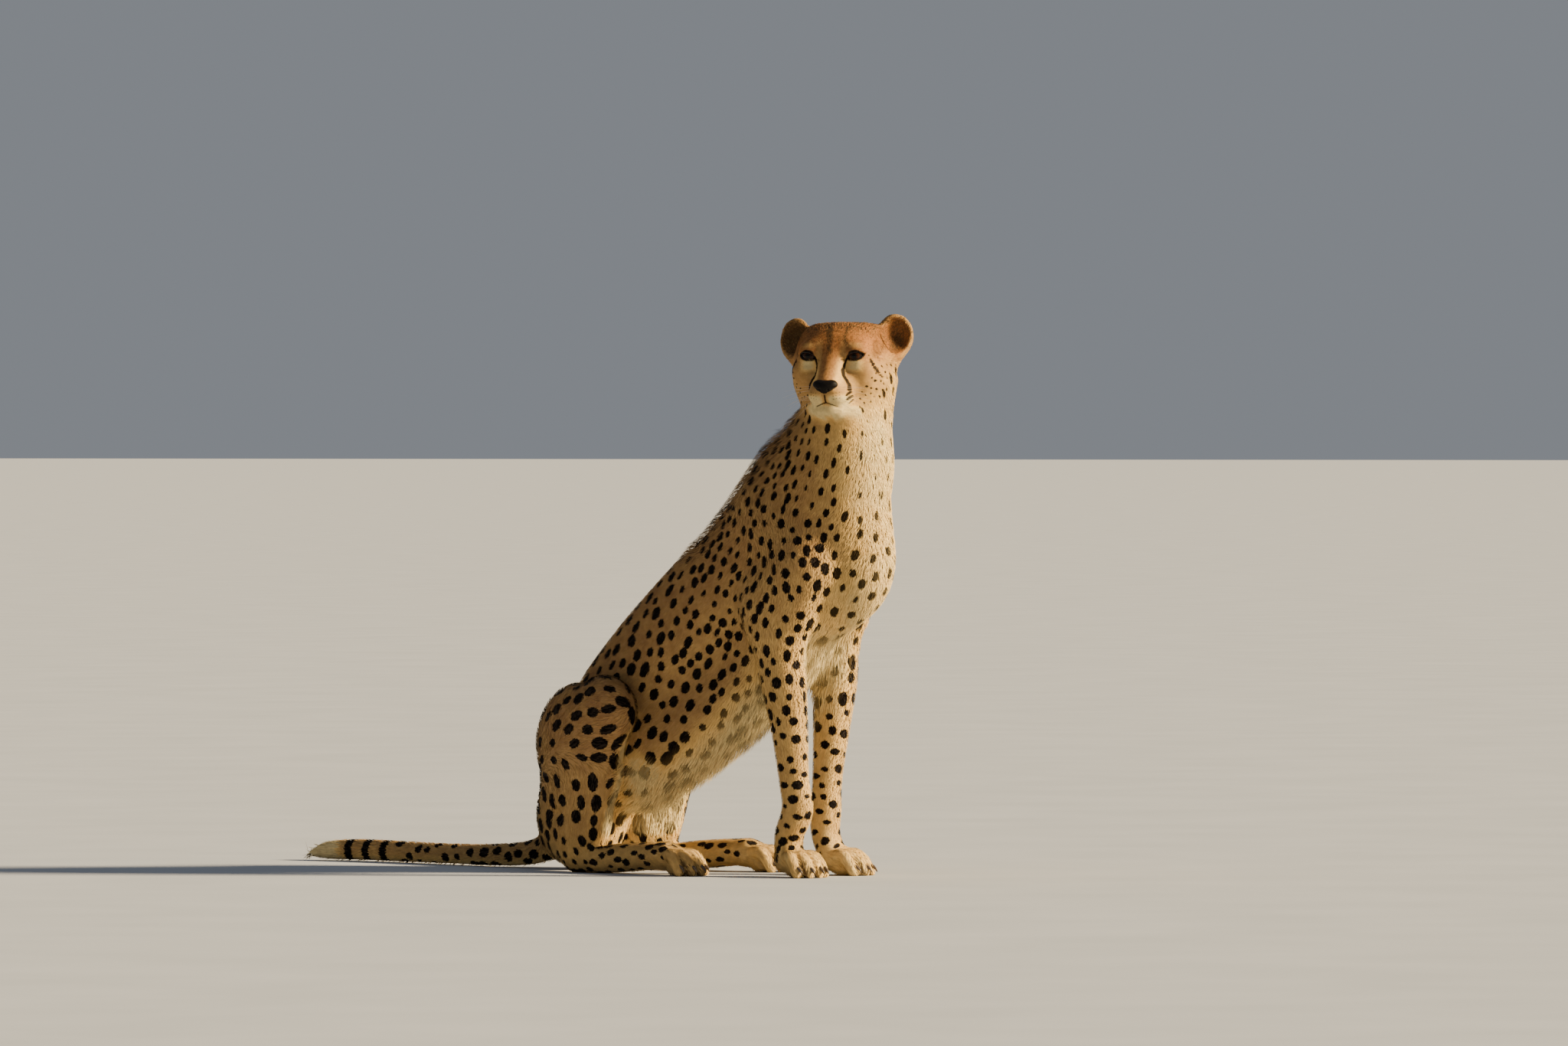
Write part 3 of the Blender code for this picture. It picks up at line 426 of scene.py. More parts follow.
def eye_sockets(total, p):
    """total with each lid drawn over its eye as a shell, opened between the edges of the lids."""
    for s in (1, -1):
        centre, out, side, up = eye_frame(s)
        near = np.linalg.norm(p - centre, axis=1) < EYE_REACH
        q = p[near] - centre
        reach = np.linalg.norm(q, axis=1)
        f = smooth_min(total[near], reach - EYE_RADIUS - LID, LID_JOIN)
        o, a, b = q @ out, q @ side, q @ up
        across, rise = np.degrees(np.arctan2(a, o)), np.degrees(np.arctan2(b, np.hypot(o, a)))
        upper, lower = lid_edges(across)
        shut = np.maximum(rise - upper, lower - rise)
        opening = shut * np.radians(1) * reach + 0.0006 * (np.abs(across) >= CORNER) + 1.0 * (o < 0)
        total[near] = -smooth_min(-f, np.maximum(opening, EYE_RADIUS - 0.004 - reach), LID_EDGE)
    return total


def creases():
    """What is taken out of the hide: the line of the mouth, the cleft over it, the hollow at each inner
    corner of the eyes, and the folds where each thigh lies on its shank."""
    made = [head_sweep([(60, 0, -70, 1.6, 3.0), (57, 0, -77, 1.6, 3.5), (52, 0, -85, 1.6, 3.5)], 3)]
    for s in (1, -1):
        made.append(head_sweep([(50, 0, -86, 4.5, 2.4), (44, s * 12, -89, 4.5, 2.4),
                                (34, s * 23, -93, 3, 1.8), (24, s * 31, -94, 1, 0.8)], 3))
        made.append(head_ball(18, s * 33, -15, 9, 7, 15, 9, turn=s * 30))
        fold = [(-0.070, s * 0.152, 0.140), (-0.110, s * 0.164, 0.116), (-0.160, s * 0.168, 0.104),
                (-0.205, s * 0.160, 0.104), (-0.240, s * 0.140, 0.112)]
        wrinkle = [(-0.150, s * 0.168, 0.150), (-0.172, s * 0.170, 0.128), (-0.205, s * 0.166, 0.122)]
        for line, radius, blend in ((fold, 0.007, 0.014), (wrinkle, 0.004, 0.010)):
            made.append(Sweep([(*p, radius, radius) for p in line], blend=blend))
    return made


CREASES = creases()


def hide(p):
    """How far p lies outside the skin."""
    return eye_sockets(carved(outline(p) + coat_depth(p), CREASES, p), p)


def sampled(field, axes, coarse=4, reach=1.4):
    """field on the grid of these axes. Cells far from the surface take the nearest coarse value."""
    picks = [np.unique(np.r_[np.arange(0, len(a), coarse), len(a) - 1]) for a in axes]
    rough_at = np.stack(np.meshgrid(*[a[i] for a, i in zip(axes, picks)], indexing="ij"), -1)
    rough = field(rough_at.reshape(-1, 3)).reshape(rough_at.shape[:3])
    cell = np.meshgrid(*[np.diff(a[i]) for a, i in zip(axes, picks)], indexing="ij")
    size = np.sqrt(sum(c * c for c in cell))
    least = np.full(size.shape, 1e9)
    n = np.array(rough.shape)
    for i, j, k in np.ndindex(2, 2, 2):
        least = np.minimum(least, np.abs(rough[i:n[0] - 1 + i, j:n[1] - 1 + j, k:n[2] - 1 + k]))
    wanted = np.zeros([len(a) for a in axes], bool)
    for cell_at in np.argwhere(least < reach * size):
        wanted[tuple(slice(pick[i], pick[i + 1] + 1) for pick, i in zip(picks, cell_at))] = True
    near = [np.clip(np.searchsorted(i, np.arange(len(a))), 0, len(i) - 1) for a, i in zip(axes, picks)]
    values = rough[np.ix_(*near)]
    at = np.argwhere(wanted)
    values[wanted] = field(np.stack([axes[k][at[:, k]] for k in range(3)], 1))
    return values


def one_skinned(values):
    """values with every cell filled where two skins would meet at an edge or a corner."""
    values = values.copy()
    n = np.array(values.shape) - 1

    def window(i, j, k):
        """The same corner of every cell."""
        return tuple(slice(a, m + a) for a, m in zip((i, j, k), n))
    corners = list(np.ndindex(2, 2, 2))
    while True:
        inside = values < 0
        meets = np.zeros(n, bool)
        for axis in range(3):
            for level in (0, 1):
                a, b, c, d = [inside[window(*np.insert(q, axis, level))]
                              for q in ((0, 0), (0, 1), (1, 1), (1, 0))]
                meets |= (a == c) & (b == d) & (a != b)
        count = sum(inside[window(*q)].astype(int) for q in corners)
        for q in corners[:4]:
            a, b = inside[window(*q)], inside[window(*(1 - np.array(q)))]
            meets |= (count == 2) & a & b | (count == 6) & ~a & ~b
        if not meets.any():
            return values
        for q in corners:
            part = values[window(*q)]
            part[meets & (part >= 0)] = -1e-5


def surface_net(values, axes):
    """Corners and triangles of the closed net where values changes sign: a corner in each crossed cell, at
    the mean of its edges' crossings, and two triangles round each crossed edge, facing out."""
    inside = values < 0
    n = np.array(values.shape) - 1
    count = sum(inside[i:n[0] + i, j:n[1] + j, k:n[2] + k].astype(int) for i, j, k in np.ndindex(2, 2, 2))
    active = (count > 0) & (count < 8)
    cells = np.argwhere(active)
    index = np.full(n, -1)
    index[active] = np.arange(len(cells))
    total, crossings = np.zeros((len(cells), 3)), np.zeros(len(cells))
    quads = []
    for axis in range(3):
        for a, b in np.ndindex(2, 2):
            ends = [cells + np.insert([a, b], axis, end) for end in (0, 1)]
            f0, f1 = [values[tuple(i.T)] for i in ends]
            cross = (f0 < 0) != (f1 < 0)
            t = np.where(cross, f0 / np.where(cross, f0 - f1, 1), 0)[:, None]
            p0, p1 = [np.stack([axes[k][i[:, k]] for k in range(3)], 1) for i in ends]
            total += np.where(cross[:, None], p0 + t * (p1 - p0), 0)
            crossings += cross
        b, c = [(1, 2), (2, 0), (0, 1)][axis]
        e = np.argwhere(np.diff(inside.astype(int), axis=axis) != 0)
        e = e[(e[:, b] > 0) & (e[:, c] > 0) & (e[:, b] < n[b]) & (e[:, c] < n[c])]
        step_b, step_c = np.eye(3, dtype=int)[[b, c]]
        steps = (step_b + step_c, step_c, 0 * step_b, step_b)
        q = np.stack([index[tuple((e - step).T)] for step in steps], 1)
        turned = ~inside[tuple(e.T)]
        q[turned] = q[turned][:, ::-1]
        quads.append(q)
    quads = np.vstack(quads)
    return total / crossings[:, None], np.vstack([quads[:, :3], quads[:, [0, 2, 3]]])


def refined(points, tris, wanted):
    """The net with each wanted triangle cut in four, and its neighbours cut to fit, so that no crack
    opens."""
    edges = np.sort(tris[:, [[0, 1], [1, 2], [2, 0]]], axis=2).astype(np.int64)
    keys, inverse = np.unique(edges[..., 0] * len(points) + edges[..., 1], return_inverse=True)
    inverse = inverse.reshape(-1, 3)
    cut = np.zeros(len(keys), bool)
    cut[inverse[wanted].ravel()] = True
    place = np.full(len(keys), -1)
    place[cut] = len(points) + np.arange(cut.sum())
    added = (points[keys[cut] // len(points)] + points[keys[cut] % len(points)]) / 2
    mids = place[inverse]
    count = (mids >= 0).sum(1)
    made = [tris[count == 0]]
    for k in range(3):
        one = (count == 1) & (mids[:, k] >= 0)
        (a, b, c), m = np.roll(tris[one], -k, axis=1).T, mids[one, k]
        made += [np.stack(t, 1) for t in ((a, m, c), (m, b, c))]
        two = (count == 2) & (mids[:, k] < 0)
        (a, b, c), m, q = np.roll(tris[two], -k, axis=1).T, mids[two, (k + 1) % 3], mids[two, (k + 2) % 3]
        made += [np.stack(t, 1) for t in ((a, b, m), (a, m, q), (q, m, c))]
    (a, b, c), (m, n, q) = tris[count == 3].T, mids[count == 3].T
    made += [np.stack(t, 1) for t in ((a, m, q), (m, b, n), (q, n, c), (m, n, q))]
    return np.vstack([points, added]), np.vstack(made)


def slope(field, p, step=0.0004):
    """The field and its slope at each point, from values a small step along each axis."""
    f = field(p)
    return f, np.stack([(field(p + step * way) - f) / step for way in np.eye(3)], 1)


def settled(field, p, rounds=2, most=0.003):
    """The points moved along the field's slope onto its surface, by no more than most at a time."""
    for _ in range(rounds):
        f, g = slope(field, p)
        move = f[:, None] * g / np.maximum((g * g).sum(1), 0.2)[:, None]
        p = p - np.clip(move, -most, most)
    return p


def face_front(p):
    """Where the skin's net is finest: the front of the face."""
    x, y, z = in_head(p).T
    return (x > -32) & (np.abs(y) < 66) & (z > -108) & (z < 24)


def close_work(p):
    """Where the skin's net is fine: the front of the head, the ears and the toes."""
    x, y, z = in_head(p).T
    return (z > -116) & ((x > -58) | (z > -14) & (np.abs(y) > 66)) | (p[:, 2] < 0.056) & (p[:, 0] > -0.03)


GRID, HEAD_GRID, HEAD_FROM = 0.0064, 0.0052, 0.80       # the net's cells, and where the head's begin
axes = [np.arange(-0.99, 0.44, GRID), np.arange(-0.195, 0.195, GRID),
        np.r_[np.arange(-0.015, HEAD_FROM, GRID), np.arange(HEAD_FROM, 1.03, HEAD_GRID)]]
points, tris = surface_net(one_skinned(sampled(hide, axes)), axes)
points, tris = refined(points, tris, close_work(points)[tris].any(1))
points = settled(hide, points)
points, tris = refined(points, tris, face_front(points[tris].mean(1)))
points = settled(hide, points)
points[:, 2] = np.maximum(points[:, 2], 0.0)

eye_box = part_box("eye_left")
eye_middle = np.mean(eye_box, axis=0)
f, l, u = head_point(*EYE_AT)
SHIFT = eye_middle - np.array([l, -f, u])       # from the body's frame to the finished part's


def placed(p):
    """Points from the body's frame (forward, left, up) in the finished part's (left, back, up)."""
    return np.stack([p[..., 1], -p[..., 0], p[..., 2]], -1) + SHIFT


def at_corners(values):
    """The sum of each of the skin's triangles' value at each of its corners."""
    values = np.repeat(values[:, None], 3, 1).reshape(len(tris) * 3, -1)
    return np.stack([np.bincount(tris.ravel(), v, len(points)) for v in values.T], 1)


a, b, c = points[tris].transpose(1, 0, 2)
normals = unit(at_corners(np.cross(b - a, c - a)))

# Each part's share in the skin at each corner: 1 on the part, falling within NEAR_JOIN of where two meet.
NEAR_JOIN = 0.012
nearness = {name: joined(shapes, points) for name, shapes in PARTS.items()}
least = np.min(list(nearness.values()), axis=0)
nearness = {name: np.exp(-(d - least) / NEAR_JOIN) for name, d in nearness.items()}
share = sum(nearness.values())
nearness = {name: w / share for name, w in nearness.items()}


def lie_of_hair(p, normals):
    """The way the hair lies at each point, in the plane of the skin: along each limb towards its end, back
    along the trunk, down the neck, and on the head away from the nose and out along the ears."""
    total = np.zeros_like(p)
    for name, shapes in PARTS.items():
        for shape in [shape for shape in shapes if isinstance(shape, Sweep) and name != "head"]:
            near = near_shape(shape, p, 0.05)
            pull = np.exp(-np.maximum(shape.distance(p[near]), 0) / 0.015) * nearness[name][near]
            back = -1 if name == "neck" or shape is PARTS["trunk"][0] else 1
            total[near] += back * pull[:, None] * shape.unrolled(p[near])[2]
    total = unit(total)
    total[:, 2] -= 0.45 * (nearness["trunk"] + nearness["neck"]) + 0.25 * nearness["head"]
    away = unit(p - head_point(62, 0, -60))
    _, y, z = in_head(p).T
    for s in (1, -1):
        ear = ease(y * s, 62, 76) * ease(z, -12, 6)
        away += ear[:, None] * (2.5 * unit(p - head_point(-72, s * 36, -26)) - away)
    total += nearness["head"][:, None] * (away - total)
    return square_to(total, normals)


flow = lie_of_hair(points, normals)
for _ in range(8):
    flow = square_to(at_corners(flow[tris].mean(1)), normals)

# ----------------------------------------------------------------------------------------- markings
# Dark spots, streaks, rings and the two tear lines lie in the skin as well as in the hair over it. Each is
# kept as a distance to its edge, in millimetres and more than nought inside it.

rng = np.random.default_rng(11)
px, py, pz = points.T                   # forward, left and up, in the body's metres
hx, hy, hz = in_head(points).T          # the same in the head's own millimetres
wide_y = np.abs(hy)
on_trunk, on_neck, of_head, on_tail = [nearness[name] for name in ("trunk", "neck", "head", "tail")]
on_head = of_head > 0.5
fore_limbs = nearness["foreleg_left"] + nearness["foreleg_right"]
hind_limbs = nearness["hindleg_left"] + nearness["hindleg_right"]
on_paw = (1 - ease(pz, 0.02, 0.10)) * ease(px, -0.32, -0.25)
TAIL_RUN = PARTS["tail"][0]
tail_run = TAIL_RUN.unrolled(points)[1] / MM
TAIL_END = tail_run.max()

crest = near_line(points, CREST_LINE, 0.085)
belly = near_line(points, BELLY_LINE, 0.16)
chest = near_line(points, ((0.392, -0.03, 0.880), (0.390, -0.01, 0.820), *CHEST_LINE), 0.14)
throat = near_line(points, ((0.40, -0.03, 0.74), (0.385, -0.05, 0.82), (0.385, -0.085, 0.90)), 0.135)
throat = np.maximum(throat, near_line(points, ((0.36, 0.07, 0.77), (0.34, 0.08, 0.88)), 0.10))
groin = near_line(points, ((0.03, 0, 0.16), (-0.07, 0.02, 0.10), (-0.13, 0, 0.07)), 0.13)
groin *= ease(-pz, -0.26, -0.16)
groin *= ease(pz, 0.055, 0.085) * (1 - nearness["hindleg_right"] * ease(-py, 0.08, 0.11))
inner = np.zeros(len(points))        # how far each limb's skin faces the other limb
for name in LIMB_BLEND:
    s = 1 if name.endswith("left") else -1
    inner += nearness[name] * ease(-s * normals[:, 1], 0.0, 0.8)
for s, name in ((1, "hindleg_left"), (-1, "hindleg_right")):
    inward = nearness[name] * ease(-s * normals[:, 1], -0.45, 0.25) * ease(px, -0.26, -0.20)
    groin = np.maximum(groin, inward * ease(pz, 0.055, 0.09) * (1 - ease(pz, 0.22, 0.30)))
for s in (1, -1):
    fold = near_line(points, ((-0.112, s * 0.085, 0.19), (-0.05, s * 0.085, 0.15)), 0.085)
    groin = np.maximum(groin, fold * on_trunk)
under = np.maximum(belly, groin)


def scattered(allowed, gap, tries):
    """Corners of the skin picked at random, each at least the gap, in millimetres, from those before it."""
    kept = []
    chosen = np.empty((0, 3))
    for i in rng.permutation(np.flatnonzero(allowed))[:tries]:
        if not (((chosen - points[i]) ** 2).sum(1) < (MM * gap[i]) ** 2).any():
            kept.append(i)
            chosen = points[kept]
    return np.array(kept)


def spots_on(middles, long_radius, short_radius):
    """Each spot's middle, its ways along the hair, across it and out of the skin, and its two radii."""
    return list(zip(points[middles], flow[middles], np.cross(normals[middles], flow[middles]),
                    normals[middles], long_radius, short_radius))


gap = 21.5 + 7.5 * ease(-px, -0.14, 0.10)           # how far apart the spots stand, in millimetres
for wanted, share in ((32, hind_limbs * ease(pz, 0.05, 0.12)), (24, fore_limbs * (1 - 0.4 * chest)),
                      (21, on_neck), (27, on_tail),
                      (18, (1 - ease(pz, 0.03, 0.08)) * ease(px, -0.32, -0.25))):
    gap += (wanted - gap) * share
gap += 9 * under + 10 * chest + 7 * throat
plain = on_head | (on_tail > 0.5) & (tail_run > TAIL_END - 215)
toes = (pz < 0.052) & (px > -0.03)
toes = toes & (((px > 0.235) | (pz < 0.03)) | ((px < 0.15) & (px > 0.012)))
middles = scattered(~plain & ~toes, 0.87 * gap, 24000)
size = gap[middles] * rng.uniform(0.25, 0.42, len(middles))
size *= (1 - 0.32 * np.maximum(chest, on_neck)[middles]) * (1 - 0.55 * throat[middles])
stretch = rng.uniform(0.98, 1.38, len(middles))
stretch = stretch + (0.35 * on_neck + 0.5 * throat + 0.15 * hind_limbs)[middles]
stretch *= 1 - 0.34 * (fore_limbs * (1 - ease(pz, 0.16, 0.34)))[middles]
SPOTS = spots_on(middles, size * stretch, size / stretch ** 0.5)

cheek_gap = 10.5 + 3 * ease(-hx, 30, 90) + 3 * ease(hz, -20, 30)
cheek = on_head & ((hx < -6) & (hz < 2) & (hz > -95) & (wide_y > 46) | (hx < -75))
cheek &= ((hz < 4) | (hx < -105)) & ((wide_y < 70) | (hz < -14))
middles = scattered(cheek, cheek_gap, 6000)
size = cheek_gap[middles] * rng.uniform(0.13, 0.22, len(middles))
SPOTS += spots_on(middles, size * rng.uniform(1.1, 1.9, len(middles)), size)

FAR_OUT = -30.0             # the distance given to whatever is far from every marking


def inside_spots(p):
    """The most that each point lies inside any spot, in millimetres."""
    order = np.argsort(p[:, 2])
    height = p[order, 2]
    inside = np.full(len(p), FAR_OUT)
    for at, along, aside, up, a, b in SPOTS:
        reach = MM * (max(a, b) + 8)
        rows = order[slice(*np.searchsorted(height, [at[2] - reach, at[2] + reach]))]
        rel = (p[rows] - at) / MM
        near = dot(rel, rel) < (reach / MM) ** 2
        rows, rel = rows[near], rel[near]
        q = np.sqrt((rel @ along / a) ** 2 + (rel @ aside / b) ** 2 + (rel @ up / (2.5 * max(a, b))) ** 2)
        inside[rows] = np.maximum(inside[rows], np.sqrt(a * b) * (1 - q))
    return inside


# Lines on the face, as (left, up) in the head's own millimetres, and half widths at their two ends.
LINES = [(((28.5, -7), (25.5, -14), (23.5, -26), (26, -36), (32, -45), (36, -52), (37, -61)), (2.1, 2.7)),
         (((38, -65), (35, -72)), (1.7, 1.2)), (((39, -72), (34, -79)), (1.5, 1.0)),
         (((39, -79), (34, -86)), (1.3, 0.8)), (((69, -6), (74, -17)), (1.2, 2.2)),
         (((76, -20), (80, -30)), (2.3, 1.8)), (((82, -34), (84, -38)), (1.5, 1.0)),
         # The last is the line of the mouth and the cleft over it: the black lips, drawn wide enough to hold
         # painted shade in the crease as well.
         (((0, -71), (0.5, -84), (9, -87), (19, -91)), (1.4, 0.9))]
BROWS = [(((-13, 52), (-9, 40), (-5, 28), (-3, 14), (-1, 4)), (4.5, 3.0)),
         (((20, 48), (20, 34), (25, 22)), (2.0, 3.0))]
RINGS = (178, 132, 88)      # how far before the tail's end its dark rings stand, in millimetres
HALF_RING = 9


def inside_stroke(at, line, widths):
    """How far inside a stroke each (left, up) lies. The half width runs evenly from end to end."""
    line = np.asarray(line, float)
    widths = np.linspace(*widths, len(line))
    inside = np.full(len(at), FAR_OUT)
    for a, b, wa, wb in zip(line[:-1], line[1:], widths[:-1], widths[1:]):
        rel, step = at - a, b - a
        t = np.clip(rel @ step / (step @ step), 0, 1)
        inside = np.maximum(inside, wa + t * (wb - wa) - np.linalg.norm(rel - t[:, None] * step, axis=1))
    return inside


def lid_line(s, count=64):
    """Places once round the edge of the lids, over the eye's glass, from the outer corner."""
    centre, out, side, up = eye_frame(s)
    turn = np.linspace(0, 2 * np.pi, count, endpoint=False)
    across = CORNER * np.cos(turn)
    upper, lower = lid_edges(across)
    across, rise = np.radians(across), np.radians(np.where(np.sin(turn) > 0, upper, lower))
    ways = (np.cos(rise) * np.cos(across))[:, None] * out + (np.cos(rise) * np.sin(across))[:, None] * side
    return centre + (EYE_RADIUS + LID_EDGE) * unit(ways + np.sin(rise)[:, None] * up)


LID_LINES = {s: lid_line(s) for s in (1, -1)}


def marks(p):
    """How far inside a dark marking each point lies, in millimetres: the spots, the lines of the face, the
    rows of dots that the whiskers stand in, the dark rim of each eye and the rings of the tail."""
    inside = inside_spots(p)
    head = in_head(p)
    front = np.flatnonzero((head[:, 0] > -80) & (head[:, 2] > -110))
    x, y, z = head[front].T
    best = np.full(len(front), FAR_OUT)
    for s in (1, -1):
        at = np.stack([s * y, z], 1)
        for line, widths in LINES:
            best = np.maximum(best, inside_stroke(at, line, widths))
        for row, step in np.ndindex(3, 3):
            d = np.hypot(at[:, 0] - 16 - 5 * step, at[:, 1] + 68 + 5 * row - step)
            best = np.maximum(best, np.where(x > 0, 0.8 - d, FAR_OUT))
        near = np.flatnonzero(np.linalg.norm(p[front] - eye_frame(s)[0], axis=1) < 0.04)
        off_lids = np.sqrt(((p[front[near], None] - LID_LINES[s]) ** 2).sum(2).min(1)) / MM
        rim = 2.2 + 2.0 * ease(z[near], 2, 8) * ease(-at[near, 0], -58, -46)
        best[near] = np.maximum(best[near], rim - off_lids)
    inside[front] = np.maximum(inside[front], best)
    near = np.flatnonzero(near_shape(TAIL_RUN, p, 0.01) & (p[:, 0] < -0.45))
    run = TAIL_RUN.unrolled(p[near])[1] / MM
    for at in RINGS:
        inside[near] = np.maximum(inside[near], HALF_RING - np.abs(run - TAIL_END + at))
    return inside


ear_gap = np.min([disc.distance(points) for disc in EAR_SHAPES[1::2]], axis=0)
on_ear = (1 - ease(ear_gap, 0.003, 0.012)) * ease(hz, -14, 2) * on_head
left_ear = on_ear * (hy > 0)
facing_back = -(normals @ HEAD_AXES[0])
hollow = np.zeros(len(points))
for shape in EAR_HOLLOWS:
    near = near_shape(shape, points, 0.01)
    hollow[near] = np.maximum(hollow[near], 1 - ease(shape.distance(points[near]), 0.0005, 0.0035))
ear_patch = on_ear * (1 - hollow) * ease(facing_back, 0.25, 0.6) * (1 - ease(hz, 16, 34))
ear_patch = 7 * (ear_patch * ease(-hx, 94, 102)) * ease(wide_y, 82, 92) - 4
rim = on_ear * (1 - hollow) * ease(np.hypot(wide_y - 84, hz - 26), 24, 32)

# The ground colour. pale runs from 0, gold, through 1, cream, to 2, white.
above = normals @ unit(np.array([-0.66, 0, 0.75]))
pale = 0.15 + 0.55 * ease(-above, -0.35, 0.8) * on_trunk
pale += 0.55 * fore_limbs * (1 - 0.6 * ease(pz, 0.40, 0.62))
pale += 0.30 * hind_limbs * (1 - ease(pz, 0.10, 0.30)) + on_neck * (0.2 + 0.75 * throat) + 0.35 * on_paw
pale += 0.45 * inner + 0.80 * chest + 1.3 * ease(under, 0.22, 0.95)
pale += on_tail * (0.2 + 0.9 * ease(-normals[:, 2], 0, 0.8)
                   + 2 * ease(tail_run, TAIL_END - 75, TAIL_END - 55))
lips = ease(-hz, 66, 76) * ease(wide_y, 2, 10) * ease(hx, 0, 20)
chin = ease(-hz, 84, 92) * ease(hx, -22, -4) * (1 - ease(-hz, 100, 116))
beside_eye = ease(wide_y, 22, 38) * (1 - ease(wide_y, 44, 64)) * ease(hx, -45, -15)
face = 0.20 + 0.25 * ease(-hz, 10, 45) + 0.6 * ease(-hx, 30, 95) * ease(-hz, -10, 50)
face = face + 1.5 * np.maximum(lips, chin)
face += 0.15 * ease(-hz, 88, 108) + 1.7 * beside_eye * ease(-hz, 6, 12) * (1 - ease(-hz, 22, 34))
face += 0.65 * beside_eye * ease(hz, 9, 15) * (1 - ease(hz, 17, 30))
face += 0.45 * ease(wide_y, 10, 18) * (1 - ease(wide_y, 24, 32)) * ease(hx, -8, 4) * ease(hz, -58, -40)
pale += (face - pale) * of_head
pale = np.clip(pale + (0.1 + 0.5 * rim - pale) * on_ear, 0, 2)

# warm is the share of rust, on the forehead and the nose, and inside the left ear, where it is painted
# light: the sunlit copy of the right ear's inside, which is painted in shade below.
warm = on_head * (0.15 + 0.8 * ease(hz, -25, 25) * ease(hx, -125, -60)) * (1 - np.clip(pale - 0.3, 0, 1))
warm += 0.5 * on_head * ease(hz, -62, -50) * (1 - ease(wide_y, 8, 20)) * ease(hx, -10, 10) * (1 - warm)
warm = np.clip(warm + 0.75 * left_ear * (1 - rim), 0, 1)

# soot is the share of grey-brown: the coat's own grizzle on the crest, the crown and the brows, and painted
# shade inside the ears and in the grooves between the toes.
soot_and_shade = 0.65 * crest + 0.55 * on_head * ease(hz, 36, 60) * (1 - on_ear) + 0.18 * on_head * ease(hz, 0, 40)
for line, widths in BROWS:
    soot_and_shade += 0.75 * ease(inside_stroke(np.stack([hy, hz], 1), line, widths), -4, 3) * on_head * (hx > -70)
# Painted shade: the inside of each ear painted grey-brown, more deeply in its hollow and most on the right
# ear.
shaded_ear_inside = on_ear * (1 - ease(facing_back, -0.2, 0.3)) * (1 - 0.7 * rim)
soot_and_shade += shaded_ear_inside * (0.6 + 0.35 * hollow) * (1 - 0.7 * left_ear)
# Painted shade deep in the middle of the left ear's hollow.
soot_and_shade += 0.75 * left_ear * hollow * (1 - ease(np.hypot(hy - 90, hz - 22), 7, 24))
# Painted shade in the grooves between the toes: grey-brown along each gap where two toes meet.
for y in (-0.018, 0.0, 0.018):
    for s, (place, toe_out) in (*FOREPAWS.items(), *HINDPAWS.items()):
        base, f, l = paw_frame(s, place, toe_out)
        groove = [base + x * f + out * y * l + z * UPWARD
                  for x, out, z in ((0.040, 1, 0.030), (0.056, 1.1, 0.022), (0.070, 1.2, 0))]
        soot_and_shade += 0.9 * near_line(points, groove, 0.012) * (pz < 0.05)
soot_and_shade = np.clip(soot_and_shade, 0, 1)
faded = 0.7 * ease(under, 0.3, 0.85) + 0.1 * chest                      # how weak the markings are
crisp = on_head * ease(hx, -48, -25) * (1 - ease(wide_y, 56, 66))       # how clean their edges are

GOLD, CREAM, WHITE = (0.355, 0.190, 0.082), (0.88, 0.57, 0.20), (0.87, 0.69, 0.34)
# SOOT_AND_SHADE is the grey-brown of the grizzle, and also of the painted shade in the ears and between the
# toes.
RUST, SOOT_AND_SHADE, BLACK = (0.42, 0.165, 0.052), (0.070, 0.036, 0.016), (0.005, 0.0032, 0.0025)
FLECKS, MOTTLING = (0.12, 0.045, 0.012), (0.16, 0.07, 0.02)
# The first is the dark brown of the painted shade at the roots of the locks; the second is the paler colour
# of their tips.
SHADED_ROOT, HAIR_TIP = (0.10, 0.045, 0.014), (0.93, 0.68, 0.27)


